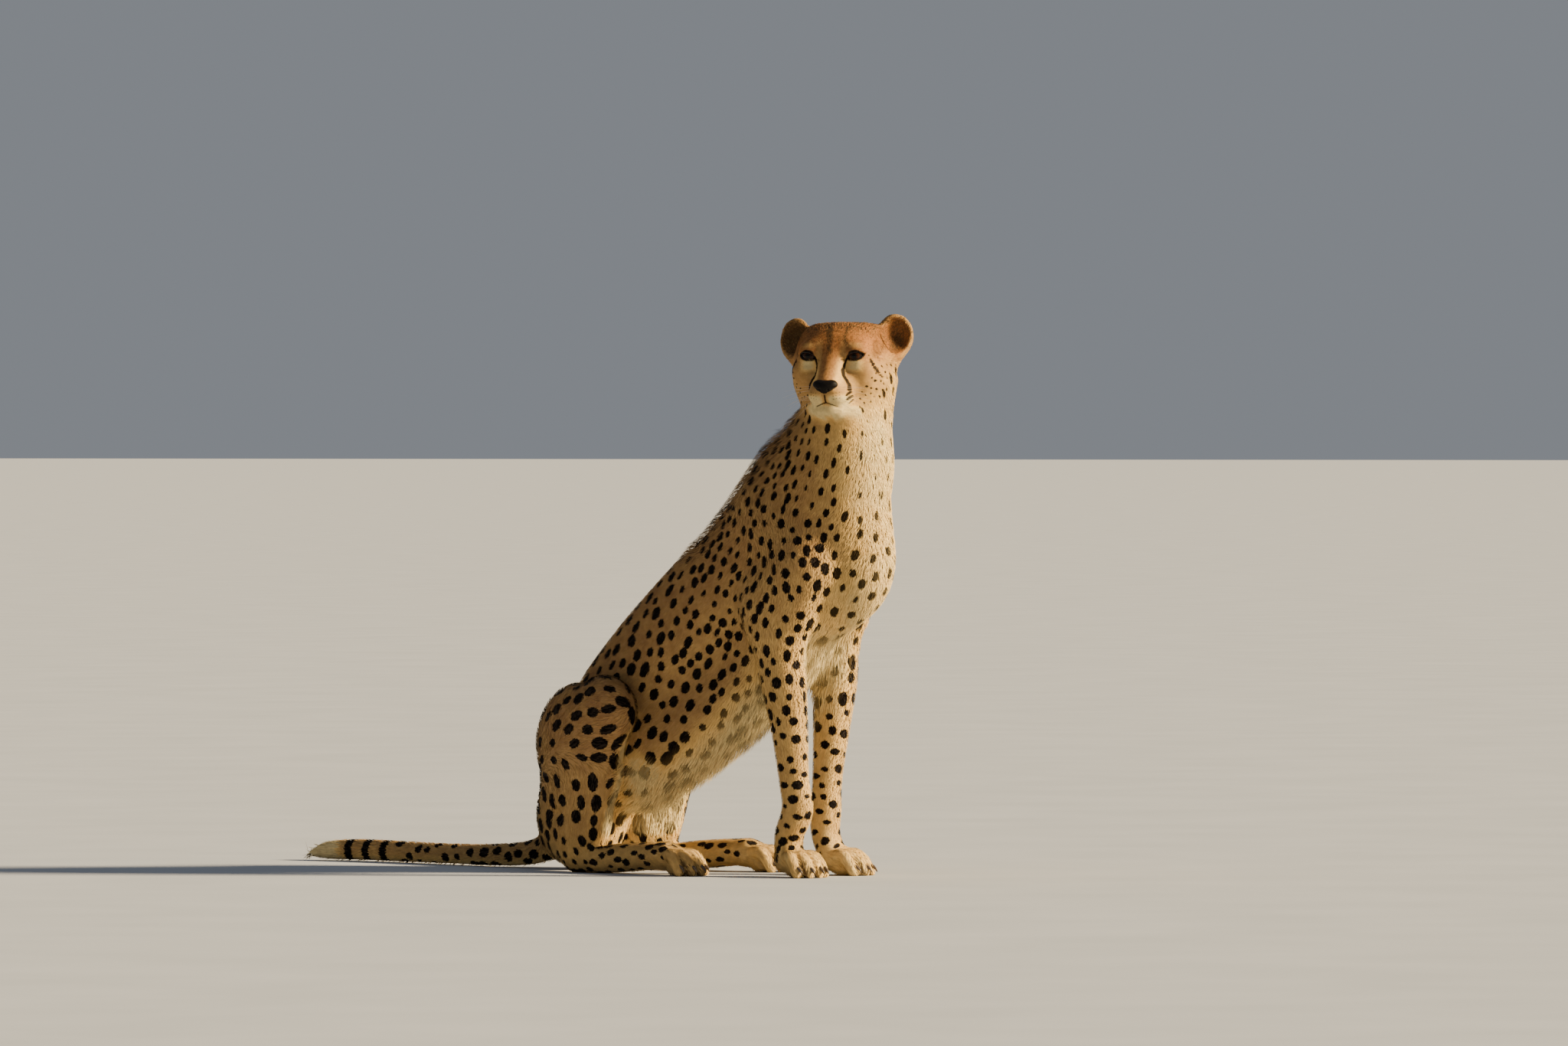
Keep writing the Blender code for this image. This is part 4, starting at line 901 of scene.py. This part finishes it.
class Finish:
    """A material as it is made up. Each call adds a node and gives the socket that comes out of it. What
    goes into it may be a number, a colour or another node's socket."""

    def __init__(self, name, roughness, specular=0.3):
        self.material = bpy.data.materials.new(name)
        self.material.use_nodes = True
        self.nodes = self.material.node_tree.nodes
        self.surface = self.nodes["Principled BSDF"].inputs
        self.feed(self.surface["Roughness"], roughness)
        self.feed(self.surface["Specular IOR Level"], specular)

    def feed(self, socket, value):
        """Sets the socket, or joins it to value where value is a socket."""
        if isinstance(value, bpy.types.NodeSocket):
            self.material.node_tree.links.new(value, socket)
        elif socket.type == "RGBA":
            socket.default_value = (*value, 1)
        else:
            socket.default_value = value

    def node(self, kind, **fed):
        """A new node of this kind, with values fed by name. An underscore stands for a space."""
        node = self.nodes.new("ShaderNode" + kind)
        for name, value in fed.items():
            self.feed(node.inputs[name.replace("_", " ")], value)
        return node

    def mixed(self, share, low, high):
        """A colour that runs from low to high as share goes from 0 to 1."""
        mix = self.nodes.new("ShaderNodeMix")
        mix.data_type = "RGBA"
        for at, value in ((0, share), (6, low), (7, high)):
            self.feed(mix.inputs[at], value)
        return mix.outputs[2]

    def ranged(self, value, low, high, to_low=0.0, to_high=1.0):
        """value carried from low..high to to_low..to_high, and held at the ends."""
        return self.node("MapRange", Value=value, From_Min=low, From_Max=high, To_Min=to_low,
                         To_Max=to_high).outputs[0]

    def computed(self, how, a, b):
        """a and b put together by the arithmetic named."""
        node = self.nodes.new("ShaderNodeMath")
        node.operation = how
        self.feed(node.inputs[0], a)
        self.feed(node.inputs[1], b)
        return node.outputs[0]

    def grain(self, scale, detail=2.0, at=None):
        """Cloudy noise about 0.5, over the object's own places unless another vector is given."""
        at = self.node("TexCoord").outputs["Object"] if at is None else at
        return self.node("TexNoise", Scale=scale, Detail=detail, Vector=at).outputs["Fac"]

    def bumped(self, height, strength, distance):
        """Raises the surface by the height given."""
        bump = self.node("Bump", Strength=strength, Distance=distance, Height=height)
        self.feed(self.surface["Normal"], bump.outputs[0])

    def coloured(self, colour):
        """Gives the surface its colour."""
        self.feed(self.surface["Base Color"], colour)

    def field(self, name):
        """The vector that a piece keeps at its points under name, and its three numbers."""
        attribute = self.nodes.new("ShaderNodeAttribute")
        attribute.attribute_name = name
        vector = attribute.outputs["Vector"]
        return vector, self.node("SeparateXYZ", Vector=vector).outputs


def hair_colour(m, light=None, tone=None):
    """Gold, cream or white from the piece's own fields, with rust, soot and the dark markings over them.
    light, about nought, darkens or lightens the ground between the markings; low light goes towards a dark
    brown, which is painted shade at the roots of the locks as well as the darker of their own tones. With
    tone, a number from 0 to 1 for each lock, soot is the share of the locks that are dark."""
    _, (pale, warm, soot_and_shade) = m.field("ground")
    _, (inside, faded, crisp) = m.field("marks")
    patchy = m.computed("ADD", pale, m.ranged(m.grain(38.0), 0.3, 0.7, -0.13, 0.13))
    colour = m.mixed(m.ranged(patchy, 0.0, 1.0), GOLD, CREAM)
    colour = m.mixed(m.ranged(patchy, 1.0, 1.8), colour, WHITE)
    colour = m.mixed(warm, colour, RUST)
    fleck = m.ranged(m.grain(210.0, 3.0), 0.48, 0.62, 0.0, 0.55)
    colour = m.mixed(m.computed("MULTIPLY", fleck, warm), colour, FLECKS)
    colour = m.mixed(m.ranged(m.grain(95.0, 3.0), 0.35, 0.65, 0.20, 0.0), colour, MOTTLING)
    if tone is not None:
        dark_lock = m.ranged(m.computed("ADD", tone, soot_and_shade), 0.94, 1.06, 0.0, 0.8)
        soot_and_shade = m.computed("ADD", dark_lock, m.computed("MULTIPLY", soot_and_shade, 0.2))
    # Grey-brown grizzle, and painted shade in the ears and between the toes.
    colour = m.mixed(soot_and_shade, colour, SOOT_AND_SHADE)
    if light is not None:
        # Painted shade: the roots of the locks, and the darker locks, go towards a dark brown.
        root_shade_and_tone = m.ranged(light, -1.6, 0.2, 1.0, 0.0)
        root_shade_and_tone = m.computed("MULTIPLY", root_shade_and_tone, m.ranged(pale, 0.3, 1.2, 0.42, 0.09))
        colour = m.mixed(root_shade_and_tone, colour, SHADED_ROOT)
        colour = m.mixed(m.ranged(light, 0.0, 1.3, 0.0, 0.30), colour, HAIR_TIP)
    ragged = m.ranged(m.grain(260.0), 0.3, 0.7, -0.9, 0.9)
    ragged = m.computed("MULTIPLY", ragged, m.ranged(crisp, 0.0, 1.0, 1.0, 0.25))
    share = m.ranged(m.computed("ADD", inside, ragged), -0.7, 0.7)
    strength = m.ranged(faded, 0.0, 1.0, 1.0, 0.30)
    return m.mixed(m.computed("MULTIPLY", share, strength), colour, BLACK)


def solid(name, p, faces, slot, finish, fields=()):
    """A piece made of points, given in the body's frame, and triangles, with its fields kept at its
    points. It rides on the model's one body."""
    mesh = bpy.data.meshes.new(name)
    mesh.vertices.add(len(p))
    mesh.vertices.foreach_set("co", placed(p).astype(np.float32).ravel())
    mesh.loops.add(faces.size)
    mesh.loops.foreach_set("vertex_index", faces.astype(np.int32).ravel())
    mesh.polygons.add(len(faces))
    mesh.polygons.foreach_set("loop_start", np.arange(0, faces.size, 3, dtype=np.int32))
    mesh.polygons.foreach_set("use_smooth", np.ones(len(faces), bool))
    mesh.update(calc_edges=True)
    for field_name, values in dict(fields).items():
        attribute = mesh.attributes.new(field_name, "FLOAT_VECTOR", "POINT")
        attribute.data.foreach_set("vector", np.stack(values, 1).astype(np.float32).ravel())
    mesh.materials.append(finish.material)
    piece = bpy.data.objects.new(name, mesh)
    bpy.context.scene.collection.objects.link(piece)
    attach(piece, "root")
    return piece


# The hide seen between the locks takes the hair's colours, painted an eighth of the way to dark brown:
# painted shade in the gaps under the locks.
shaded_under_hair = Finish("hide under the hair, painted darker", 0.8)
shaded_under_hair.coloured(shaded_under_hair.mixed(0.12, hair_colour(shaded_under_hair), (0.10, 0.05, 0.02)))
shaded_under_hair.bumped(shaded_under_hair.grain(900.0, 3.0), 0.5, 0.0006)

dark = np.maximum(marks(points), ear_patch)
skin = solid("skin", points, tris, "coat", shaded_under_hair,
             {"ground": (pale, warm, soot_and_shade), "marks": (dark, faded, crisp)})
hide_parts(*[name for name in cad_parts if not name.startswith(("eye", "nose"))])

# --------------------------------------------------------------------------------------------- eyes
# Two glass eyes, set in the sockets under the lids: a dark brown iris that fills the opening, a round
# pupil and a darker ring at the iris's edge. The glass is polished.

GAZE = 4.0                                  # how far the eyes look inward of their sockets, in degrees
PUPIL, INNER_IRIS, IRIS = 13.0, 30.0, 37.0  # radii as seen from the eye's middle, in degrees


def tubes(paths, radii, sides=8, looped=False):
    """Closed tubes: round each path (tube, step, place) stands a ring at each step, the radius away, in
    the plane across the path. The ends are fans about the path's own ends. A looped path runs back to its
    start."""
    paths, radii = np.asarray(paths, float), np.asarray(radii, float)
    m, n, _ = paths.shape
    along = np.roll(paths, -1, 1) - np.roll(paths, 1, 1) if looped else np.gradient(paths, axis=1)
    along = unit(along)
    spare = np.where(np.abs(along.mean(1))[:, 2:] > 0.7, [[1.0, 0, 0]], [[0, 0, 1.0]])[:, None]
    first = unit(np.cross(along, spare + 0 * along))
    second = np.cross(along, first)
    turn = np.arange(sides) * 2 * np.pi / sides
    ring = np.cos(turn)[:, None] * first[:, :, None] + np.sin(turn)[:, None] * second[:, :, None]
    places = (paths[:, :, None] + radii[:, :, None, None] * ring).reshape(m, n * sides, 3)
    i, k = [g.ravel() for g in np.indices((n if looped else n - 1, sides))]
    a, b = i * sides + k, i * sides + (k + 1) % sides
    c, d = [(q + sides) % (n * sides) for q in (b, a)]
    faces = [np.stack([a, b, c], 1), np.stack([a, c, d], 1)]
    if not looped:
        places = np.concatenate([places, paths[:, [0, -1]]], 1)
        k = np.arange(sides)
        last = (n - 1) * sides
        faces += [np.stack([0 * k + n * sides, (k + 1) % sides, k], 1),
                  np.stack([0 * k + n * sides + 1, last + k, last + (k + 1) % sides], 1)]
    faces = np.vstack(faces) + places.shape[1] * np.arange(m)[:, None, None]
    return places.reshape(-1, 3), faces.reshape(-1, 3)


glass = Finish("eye glass", 0.04, 0.14)
_, (off_axis, _, _) = glass.field("gaze")
fleck = glass.computed("ADD", off_axis, glass.ranged(glass.grain(700.0), 0.3, 0.7, -3.0, 3.0))
colour = glass.mixed(glass.ranged(fleck, PUPIL, INNER_IRIS), (0.009, 0.0033, 0.0012),
                     (0.034, 0.011, 0.0035))
colour = glass.mixed(glass.ranged(off_axis, IRIS - 6, IRIS), colour, (0.012, 0.008, 0.006))
glass.coloured(glass.mixed(glass.ranged(off_axis, PUPIL - 0.7, PUPIL + 0.7), (0.002, 0.002, 0.002), colour))

for s, side_name in ((1, "left"), (-1, "right")):
    centre, out, side, up = eye_frame(s)
    gaze = unit(out - np.tan(np.radians(GAZE)) * side)
    polar = np.radians(np.linspace(2, 178, 45))
    path = centre + EYE_RADIUS * np.cos(polar)[:, None] * -gaze
    places, faces = tubes([path], [EYE_RADIUS * np.sin(polar)], 48)
    angle = np.degrees(np.arccos(np.clip(unit(places - centre) @ gaze, -1, 1)))
    piece = solid("eyeball_" + side_name, places, faces, "eyes", glass,
                  {"gaze": (angle, 0 * angle, 0 * angle)})
    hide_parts("eye_" + side_name)

# --------------------------------------------------------------------------------- lids, nose, claws
# The edges of the eyelids are bare black skin, a thin cord round each eye. The nose pad is cast rubber with
# a fine pebbled grain and two nostrils. The claws are horn, and stand out of the toes, as a cheetah's do.

RIM_RADIUS = 0.0012
bare_skin = Finish("bare black skin", 0.42)
bare_skin.coloured((0.012, 0.009, 0.008))
bare_skin.bumped(bare_skin.grain(1600.0), 0.3, 0.0003)
rims = list(LID_LINES.values())
places, faces = tubes(rims, np.full((2, len(rims[0])), RIM_RADIUS), looped=True)
solid("eyelid_rims", places, faces, "nose_pad", bare_skin)

NOSE_MIDDLE = (46, 0, -57)
NOSE_SHAPES = ((46, 0, -58, 11, 11, 13), (46, 12, -52, 10, 11, 8.5), (46, -12, -52, 10, 11, 8.5),
               (47, 6, -57, 10, 12, 9), (47, -6, -57, 10, 12, 9), (45, 0, -52, 11, 14, 8.5))
NOSE_BLEND = 5
nose_shapes = [head_ball(*numbers, NOSE_BLEND) for numbers in NOSE_SHAPES]
nostrils = [head_sweep([(60, 0, -58, 0.7, 2.0), (59, 0, -66, 0.8, 2.0), (57, 0, -76, 0.8, 2.5)], 1.0)]
for s in (1, -1):
    nostrils.append(head_ball(59, s * 8.5, -61.5, 5, 3.4, 2.8, 1.5, turn=s * 18))
    nostrils.append(head_sweep([(57, s * 10, -61, 1.6, 2.4), (52, s * 17, -58.5, 1.2, 2.4),
                                (46, s * 22, -57, 0.8, 2.0)], 1.5))


def nose_pad(p):
    """How far p lies outside the nose pad: its rounded lobes joined, less the nostrils and the cleft."""
    return carved(joined(nose_shapes, p), nostrils, p)


nose_axes = [np.arange(c - 0.030, c + 0.030, 0.0015) for c in head_point(*NOSE_MIDDLE)]
grid = np.stack(np.meshgrid(*nose_axes, indexing="ij"), -1)
outside = nose_pad(grid.reshape(-1, 3)).reshape(grid.shape[:3])
places, faces = surface_net(one_skinned(outside), nose_axes)
rubber = Finish("nose rubber", 0.5, 0.12)
patches = rubber.ranged(rubber.grain(220.0), 0.35, 0.65)
rubber.coloured(rubber.mixed(patches, (0.004, 0.003, 0.003), (0.009, 0.007, 0.006)))
own_places = rubber.node("TexCoord").outputs["Object"]
rubber.bumped(rubber.node("TexVoronoi", Scale=900.0, Vector=own_places).outputs["Distance"], 0.55, 0.0006)
nose = solid("nose", settled(nose_pad, places), faces, "nose_pad", rubber)
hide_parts("nose")

# One claw's middle line, as (forward, up) from its paw's own place, and its radius at each point.
CLAW = np.array(((0.058, 0.0185), (0.067, 0.0185), (0.0735, 0.0160), (0.0785, 0.0115), (0.0810, 0.0065)))
CLAW_RADII = (0.0030, 0.0034, 0.0030, 0.0021, 0.0005)
claw_paths = []
for s, (place, toe_out) in (*FOREPAWS.items(), *HINDPAWS.items()):
    base, f, l = paw_frame(s, place, toe_out)
    for y, back in TOES:
        claw_paths.append(base + (CLAW[:, :1] + back) * f + y * 1.15 * l + CLAW[:, 1:] * [0, 0, 1])
places, faces = tubes(claw_paths, np.tile(CLAW_RADII, (len(claw_paths), 1)))
horn = Finish("claw horn", 0.35, 0.4)
streaks = horn.ranged(horn.grain(300.0), 0.35, 0.65)
horn.coloured(horn.mixed(streaks, (0.055, 0.038, 0.028), (0.16, 0.115, 0.08)))
horn.bumped(horn.grain(1200.0), 0.3, 0.0003)
solid("claws", places, faces, "paw_coat", horn)

# ----------------------------------------------------------------------------------------- whiskers
# Long stiff hairs set in rows in the upper lips. Each is a single tapered bristle, rooted in the skin, and
# droops a little toward its tip.

WHISKER_ROOT, WHISKER_TIP = 0.00024, 0.00005        # the radii of a whisker's two ends
rng = np.random.default_rng(5)
share = np.linspace(0, 1, 9)[:, None]
whisker_paths = []
for s, row, i in [(s, row, i) for s in (1, -1) for row in range(3) for i in range(3)]:
    at = head_point(30 - 6 * i, s * (20 + 4.5 * i), -66 - 5 * row)
    for _ in range(4):
        f, g = slope(hide, at[None])
        at = at - f[0] * g[0] / max(g[0] @ g[0], 0.2)
    droop = rng.uniform(-0.1, 0.25)
    way = 0.35 * unit(g[0]) - droop * UPWARD + s * HEAD_AXES[1] - 0.35 * HEAD_AXES[0]
    way = unit(way + 0.1 * rng.normal(size=3))
    fall = rng.uniform(0.05, 0.30)
    length = MM * (44 + 5 * i) * rng.uniform(0.8, 1.15)
    whisker_paths.append(at - 0.002 * way + length * (share * way - UPWARD * fall * share ** 2))
radii = WHISKER_ROOT + (WHISKER_TIP - WHISKER_ROOT) * share[:, 0]
places, faces = tubes(whisker_paths, np.tile(radii, (len(whisker_paths), 1)), 5)
bristle = Finish("whisker", 0.4)
worn = bristle.ranged(bristle.grain(25.0), 0.4, 0.6)
bristle.coloured(bristle.mixed(worn, (0.72, 0.66, 0.56), (0.5, 0.42, 0.33)))
solid("whiskers", places, faces, "white_coat", bristle)

# --------------------------------------------------------------------------------------------- coat
# The hair, in tufts: each is a flat tapered lock, rooted just under the skin and lying over the next one
# back. It is short on the face and feet, and long on the nape, chest, belly and tip of the tail.

MOST = 24900                # the most locks in one piece
LOCK = np.array([[0, 1, 3], [0, 3, 2], [2, 3, 5], [0, 2, 4], [0, 4, 1], [1, 4, 3], [2, 5, 4], [4, 5, 3]])
HEIGHT_IN_LOCK = (0, 0, 1, 1, 1, 2)         # root, middle or tip, for each of a lock's six points
PATCH = 0.003               # the side of one lock's patch on the unwrap
TO_FINISHED = np.array([[0, -1.0, 0], [1, 0, 0], [0, 0, 1]])    # the body's frame as rows in the finished
rng = np.random.default_rng(21)

# The length of the locks, and then the depth of the coat, at each corner of the skin, in millimetres.
long = 13 * on_trunk + 16 * on_neck + 15 * on_tail
long += fore_limbs * (8 + 6 * ease(pz, 0.10, 0.45)) + hind_limbs * (8 + 6 * ease(pz, 0.04, 0.15))
long += 3 * (1 - ease(pz, 0.03, 0.06)) * (fore_limbs + hind_limbs)
long += 22 * crest + 20 * ease(under, 0.3, 0.9) * (1 - 0.75 * hind_limbs) + 6 * chest
long += 16 * on_tail * ease(tail_run, TAIL_END - 70, TAIL_END - 30)
face = 4.6 + 4 * ease(-hx, 15, 60) + 8 * ease(-hx, 45, 95) * ease(-hz, -10, 30) + 3 * ease(-hz, 95, 125)
face += 7 * ease(hz, 34, 58)
face += (6 - face) * on_ear
long += (face - long) * of_head
depth = coat_depth(points) / MM


def bending():
    """How fast the skin turns away along the hair at each corner, as one over the radius: over the edges
    there, the mean of turn / length, weighted by how well each edge runs with the hair."""
    a, b = tris[:, [0, 1, 2]].ravel(), tris[:, [1, 2, 0]].ravel()
    step = points[b] - points[a]
    apart = (step ** 2).sum(1)
    weight = dot(step, flow[a]) ** 4 / apart ** 2
    turn = dot(normals[b] - normals[a], step)
    total = np.bincount(a, turn * weight, len(points))
    return np.clip(total / (np.bincount(a, apart * weight, len(points)) + 1e-12), -60, 140)


# cover is how many locks of half_width deep the coat lies. The locks themselves are finer by a share.
cover = 1.5 + 0.6 * of_head - 0.3 * fore_limbs - 0.5 * hind_limbs
cover += 2.1 * on_neck + 1.5 * chest * (1 - of_head) + 0.15 * on_trunk
half_width = np.maximum(0.55, 0.10 * long - 2.1 * ease(long, 14, 34))
half_width *= 1 - 0.32 * np.clip(on_neck + on_trunk * np.maximum(chest, 0.4), 0, 1)
fine = 0.62 + 0.1 * of_head - 0.12 * np.maximum(chest, on_neck)
shown = np.where((normals[:, 2] < -0.8) & (pz < 0.02), 0.15, 1.0)    # few locks under what it rests on
loose = np.maximum(crest, 0.6 * on_head * ease(hz, 40, 58) * (1 - on_ear))
FIELDS = np.column_stack([points, normals, flow, long, depth, MM * bending(), fine * half_width, pale, warm,
                          soot_and_shade, faded, ear_patch, under, loose, crisp])


def unwrapped(part, p):
    """Each place on an unwrap of the part's own shape, both numbers from 0 to 1: round it and along it, in
    one band for each of its tubes, or for the head by the way it lies from the head's middle."""
    if part == "head":
        x, y, z = (in_head(p) - [-60, 0, -30]).T
        across = np.arctan2(y, x) / (2 * np.pi) + 0.5
        return np.stack([across, np.arctan2(z, np.hypot(x, y)) / np.pi + 0.5], 1)
    runs = [shape for shape in PARTS[part] if isinstance(shape, Sweep)]
    band = np.argmin([run.distance(p) for run in runs], axis=0)
    at = np.zeros((len(p), 2))
    for i, run in enumerate(runs):
        here = band == i
        turn, length, _ = run.unrolled(p[here])
        whole = np.linalg.norm(run.along, axis=1).sum()
        at[here] = np.stack([turn, (i + 0.02 + 0.96 * length / whole) / len(runs)], 1)
    return at


def locks(name, slot, part, chosen):
    """One piece of the coat, over the chosen triangles of the skin: roots spread evenly by area, and from
    each a closed lock of six points, with its markings taken where each of its points lies. t up a lock of
    length L, on skin that bends by c, lies at root + t L d + (lift - c (t L)^2 / 2) n."""
    at = tris[chosen]
    corner = FIELDS[at]
    a, b, c = [corner[:, i, :3] for i in range(3)]
    area = np.linalg.norm(np.cross(b - a, c - a), axis=1) / 2 / MM ** 2
    wanted = area * (cover / (long * half_width))[at].mean(1) * shown[at].mean(1)
    count = int(min(wanted.sum(), MOST))
    running = np.cumsum(wanted)
    pick = np.searchsorted(running, (np.arange(count) + rng.random(count)) / count * running[-1])
    pick = np.minimum(pick, len(at) - 1)
    u, v = np.sqrt(rng.random(count)), rng.random(count)
    share = np.stack([1 - u, u * (1 - v), u * v], 1)
    got = np.einsum("ij,ijk->ik", share, corner[pick])
    root, n, d = got[:, :3], unit(got[:, 3:6]), unit(got[:, 6:9])
    length, deep, curve, half, pale, warm, soot_and_shade, faded, patch, hanging, loose, crisp = got[:, 9:].T
    length = length * rng.uniform(0.70, 1.15, count)
    curve = np.clip(curve, -0.3 / length, 1.1 / length)
    half = half * rng.uniform(0.8, 1.25, count)
    d = square_to(d, n)
    w = np.cross(n, d)
    x, y, z = root.T
    swirl = np.sin(x * 61 + 3 * np.sin(z * 47)) * np.sin(y * 71 + 2 * np.sin(x * 53))
    swirl += np.sin(z * 97 + y * 41)
    yaw = 0.10 * swirl + 0.17 * rng.normal(size=count) * (1 + 0.8 * loose)
    cos, sin = np.cos(yaw)[:, None], np.sin(yaw)[:, None]
    d, w = cos * d + sin * w, cos * w - sin * d
    rise = np.minimum(deep * rng.uniform(0.80, 1.08, count) * (1 + 0.9 * loose), 0.55 * length)
    down = (0.35 * hanging * length)[:, None] * -UPWARD

    def up_lock(t, lift):
        """A place up the lock: t of its length along the skin, bent with it, and lifted off it."""
        lift = lift - 0.5 * curve * (t * length) ** 2
        return root + MM * (t * length[:, None] * d + t * t * down + lift[:, None] * n)
    start = root - 0.9 * MM * n
    mid, tip = up_lock(0.5, 0.66 * rise), up_lock(1.0, rise)
    broad = MM * half[:, None] * w
    ridge = mid + 0.3 * MM * half[:, None] * n
    places = np.stack([start - 0.6 * broad, start + 0.6 * broad, mid - broad, mid + broad, ridge, tip], 1)
    places[..., 2] = np.maximum(places[..., 2], 0.0006 * rng.random((count, 1)))
    late = MM * (rng.normal(size=count) * (0.6 - 0.5 * crisp))[:, None] * d
    inside = [np.maximum(marks(root + t * MM * length[:, None] * d + late), patch) for t in (0.0, 0.5, 1.0)]
    inside = np.stack(inside, 1)[:, HEIGHT_IN_LOCK].ravel()
    pale, warm, soot_and_shade, faded, crisp = [np.repeat(v, 6) for v in (pale, warm, soot_and_shade, faded, crisp)]
    across = ([0.0, 1.0, 0.0, 1.0, 0.5, 0.5] + rng.integers(0, 500, count)[:, None]).ravel()
    along = np.tile(HEIGHT_IN_LOCK, count) / 2
    tone = np.repeat(rng.random(count), 6)
    faces = (LOCK + 6 * np.arange(count)[:, None, None]).reshape(-1, 3)
    piece = solid(name, places.reshape(-1, 3), faces, slot, hair,
                  {"ground": (pale, warm, soot_and_shade), "marks": (inside, faded, crisp),
                   "lock": (across, along, tone)})
    tilt = np.array([[-1.0], [1], [-1], [1], [0], [0]])
    facing = unit(0.8 * n[:, None] + 0.36 * tilt * w[:, None]).reshape(-1, 3)
    piece.data.normals_split_custom_set_from_vertices(facing @ TO_FINISHED)
    spread = PATCH * np.array([[-0.4, 0], [0.4, 0], [-0.5, 0.5], [0.5, 0.5], [0, 0.5], [0, 1]])
    flat = (unwrapped(part, root)[:, None] * (1 - PATCH) + PATCH / 2 + spread).reshape(-1, 2)
    unwrap = piece.data.uv_layers.new(name="OFBake").uv
    unwrap.foreach_set("vector", flat[faces.ravel()].astype(np.float32).ravel())


hair = Finish("hair", 0.7, 0.04)
lock_vector, (across, along, tone) = hair.field("lock")
stretched = hair.nodes.new("ShaderNodeVectorMath")
stretched.operation = "MULTIPLY"
stretched.inputs[1].default_value = (5.0, 0.9, 40.0)
hair.feed(stretched.inputs[0], lock_vector)
strands = hair.grain(1.0, 1.0, stretched.outputs[0])
light = hair.computed("ADD", hair.ranged(strands, 0.3, 0.7, -0.35, 0.35),
                      hair.ranged(tone, 0.0, 1.0, -0.4, 0.35))
# Each lock is painted darker towards its root, as painted shade where the locks lie over one another, and a
# little lighter towards its tip.
light = hair.computed("ADD", light, hair.ranged(along, 0.0, 1.0, -0.4, 0.2))
hair.coloured(hair_colour(hair, light, tone))
hair.bumped(strands, 0.5, 0.0004)

part_names = list(PARTS)
nearest = np.array(part_names)[np.argmax([nearness[name] for name in part_names], axis=0)]
part_of = nearest[tris[:, 0]]
middles = points[tris].mean(1)
forward, left_of, height = middles.T
head_x, head_y, head_z = in_head(middles).T
faces_up = normals[tris[:, 0], 2] > 0
trunk_tris, neck_tris, head_tris = [part_of == name for name in ("trunk", "neck", "head")]
breast = trunk_tris & (forward > 0.12) & (height < 0.9)
front = head_tris & (head_x > -35)
for name in part_names:
    if name not in ("trunk", "neck", "head"):
        locks("coat_" + name, "ringed_coat" if name == "tail" else "coat", name, part_of == name)
for name, slot, part, chosen in (
        ("coat_neck_left", "neck_coat", "neck", neck_tris & (left_of > 0)),
        ("coat_neck_right", "neck_coat", "neck", neck_tris & (left_of <= 0)),
        ("coat_chest", "coat", "trunk", breast),
        ("coat_back", "coat", "trunk", trunk_tris & ~breast & faces_up),
        ("coat_belly", "belly_coat", "trunk", trunk_tris & ~breast & ~faces_up),
        ("coat_face_left", "coat", "head", front & (head_y > 0)),
        ("coat_face_right", "coat", "head", front & (head_y <= 0)),
        ("coat_crown", "coat", "head", head_tris & ~front & (head_z > -12)),
        ("coat_cheeks", "coat", "head", head_tris & ~front & (head_z <= -12))):
    locks(name, slot, part, chosen)

# ------------------------------------------------------------------------- floor, lights and camera
# A plain pale floor that runs out of sight, a big soft lamp for the low sun, and the pale sky's own light.

FLOOR_REACH = 400.0
corners = FLOOR_REACH * np.array([(-1, -1, 0), (1, -1, 0), (1, 1, 0), (-1, 1, 0)], float)
floor_mesh = bpy.data.meshes.new("floor")
floor_mesh.from_pydata(corners.tolist(), [], [(0, 1, 2, 3)])
floor = bpy.data.objects.new("floor", floor_mesh)
bpy.context.scene.collection.objects.link(floor)
paper = Finish("floor paper", 0.9, 0.1)
clouded = paper.ranged(paper.grain(3.0), 0.3, 0.7)
paper.coloured(paper.mixed(clouded, (0.45, 0.47, 0.51), (0.49, 0.51, 0.55)))
floor_mesh.materials.append(paper.material)

sky = bpy.data.worlds.new("sky")
bpy.context.scene.world = sky
sky.use_nodes = True
sky_light = sky.node_tree.nodes["Background"].inputs
sky_light["Color"].default_value = (0.80, 0.86, 0.95, 1)
sky_light["Strength"].default_value = 0.27

AZIMUTH = np.radians(-54.0)             # the camera's side of the model
CAMERA_FAR, CAMERA_HIGH, AIM_HIGH, AIM_RIGHT = 20.0, 0.787, 0.640, 0.143
SUN_TURN, SUN_HEIGHT = np.radians(81), np.radians(22)       # how far right of the camera, and how high
right = np.array([np.cos(AZIMUTH), np.sin(AZIMUTH), 0])
back = np.array([np.sin(AZIMUTH), -np.cos(AZIMUTH), 0])


def pointing(way):
    """The turn that aims a lamp or a camera along way."""
    return Vector(way).to_track_quat("-Z", "Y").to_euler()


sun = bpy.data.lights.new("low_sun", "SUN")
sun.energy = 15.0
sun.angle = 0.14
sun.color = (1.0, 0.80, 0.50)
from_sun = np.sin(SUN_TURN) * right + np.cos(SUN_TURN) * back
low_sun = bpy.data.objects.new("low_sun", sun)
low_sun.rotation_euler = pointing(-np.cos(SUN_HEIGHT) * from_sun - np.sin(SUN_HEIGHT) * UPWARD)
bpy.context.scene.collection.objects.link(low_sun)

aim = placed(np.zeros(3)) + AIM_RIGHT * right
stand = aim + CAMERA_FAR * back
aim[2], stand[2] = AIM_HIGH, CAMERA_HIGH
lens = bpy.data.cameras.new("camera")
lens.lens = 251.1
lens.clip_end = 900.0
camera = bpy.data.objects.new("camera", lens)
camera.location = stand
camera.rotation_euler = pointing(aim - stand)
bpy.context.scene.collection.objects.link(camera)
bpy.context.scene.camera = camera
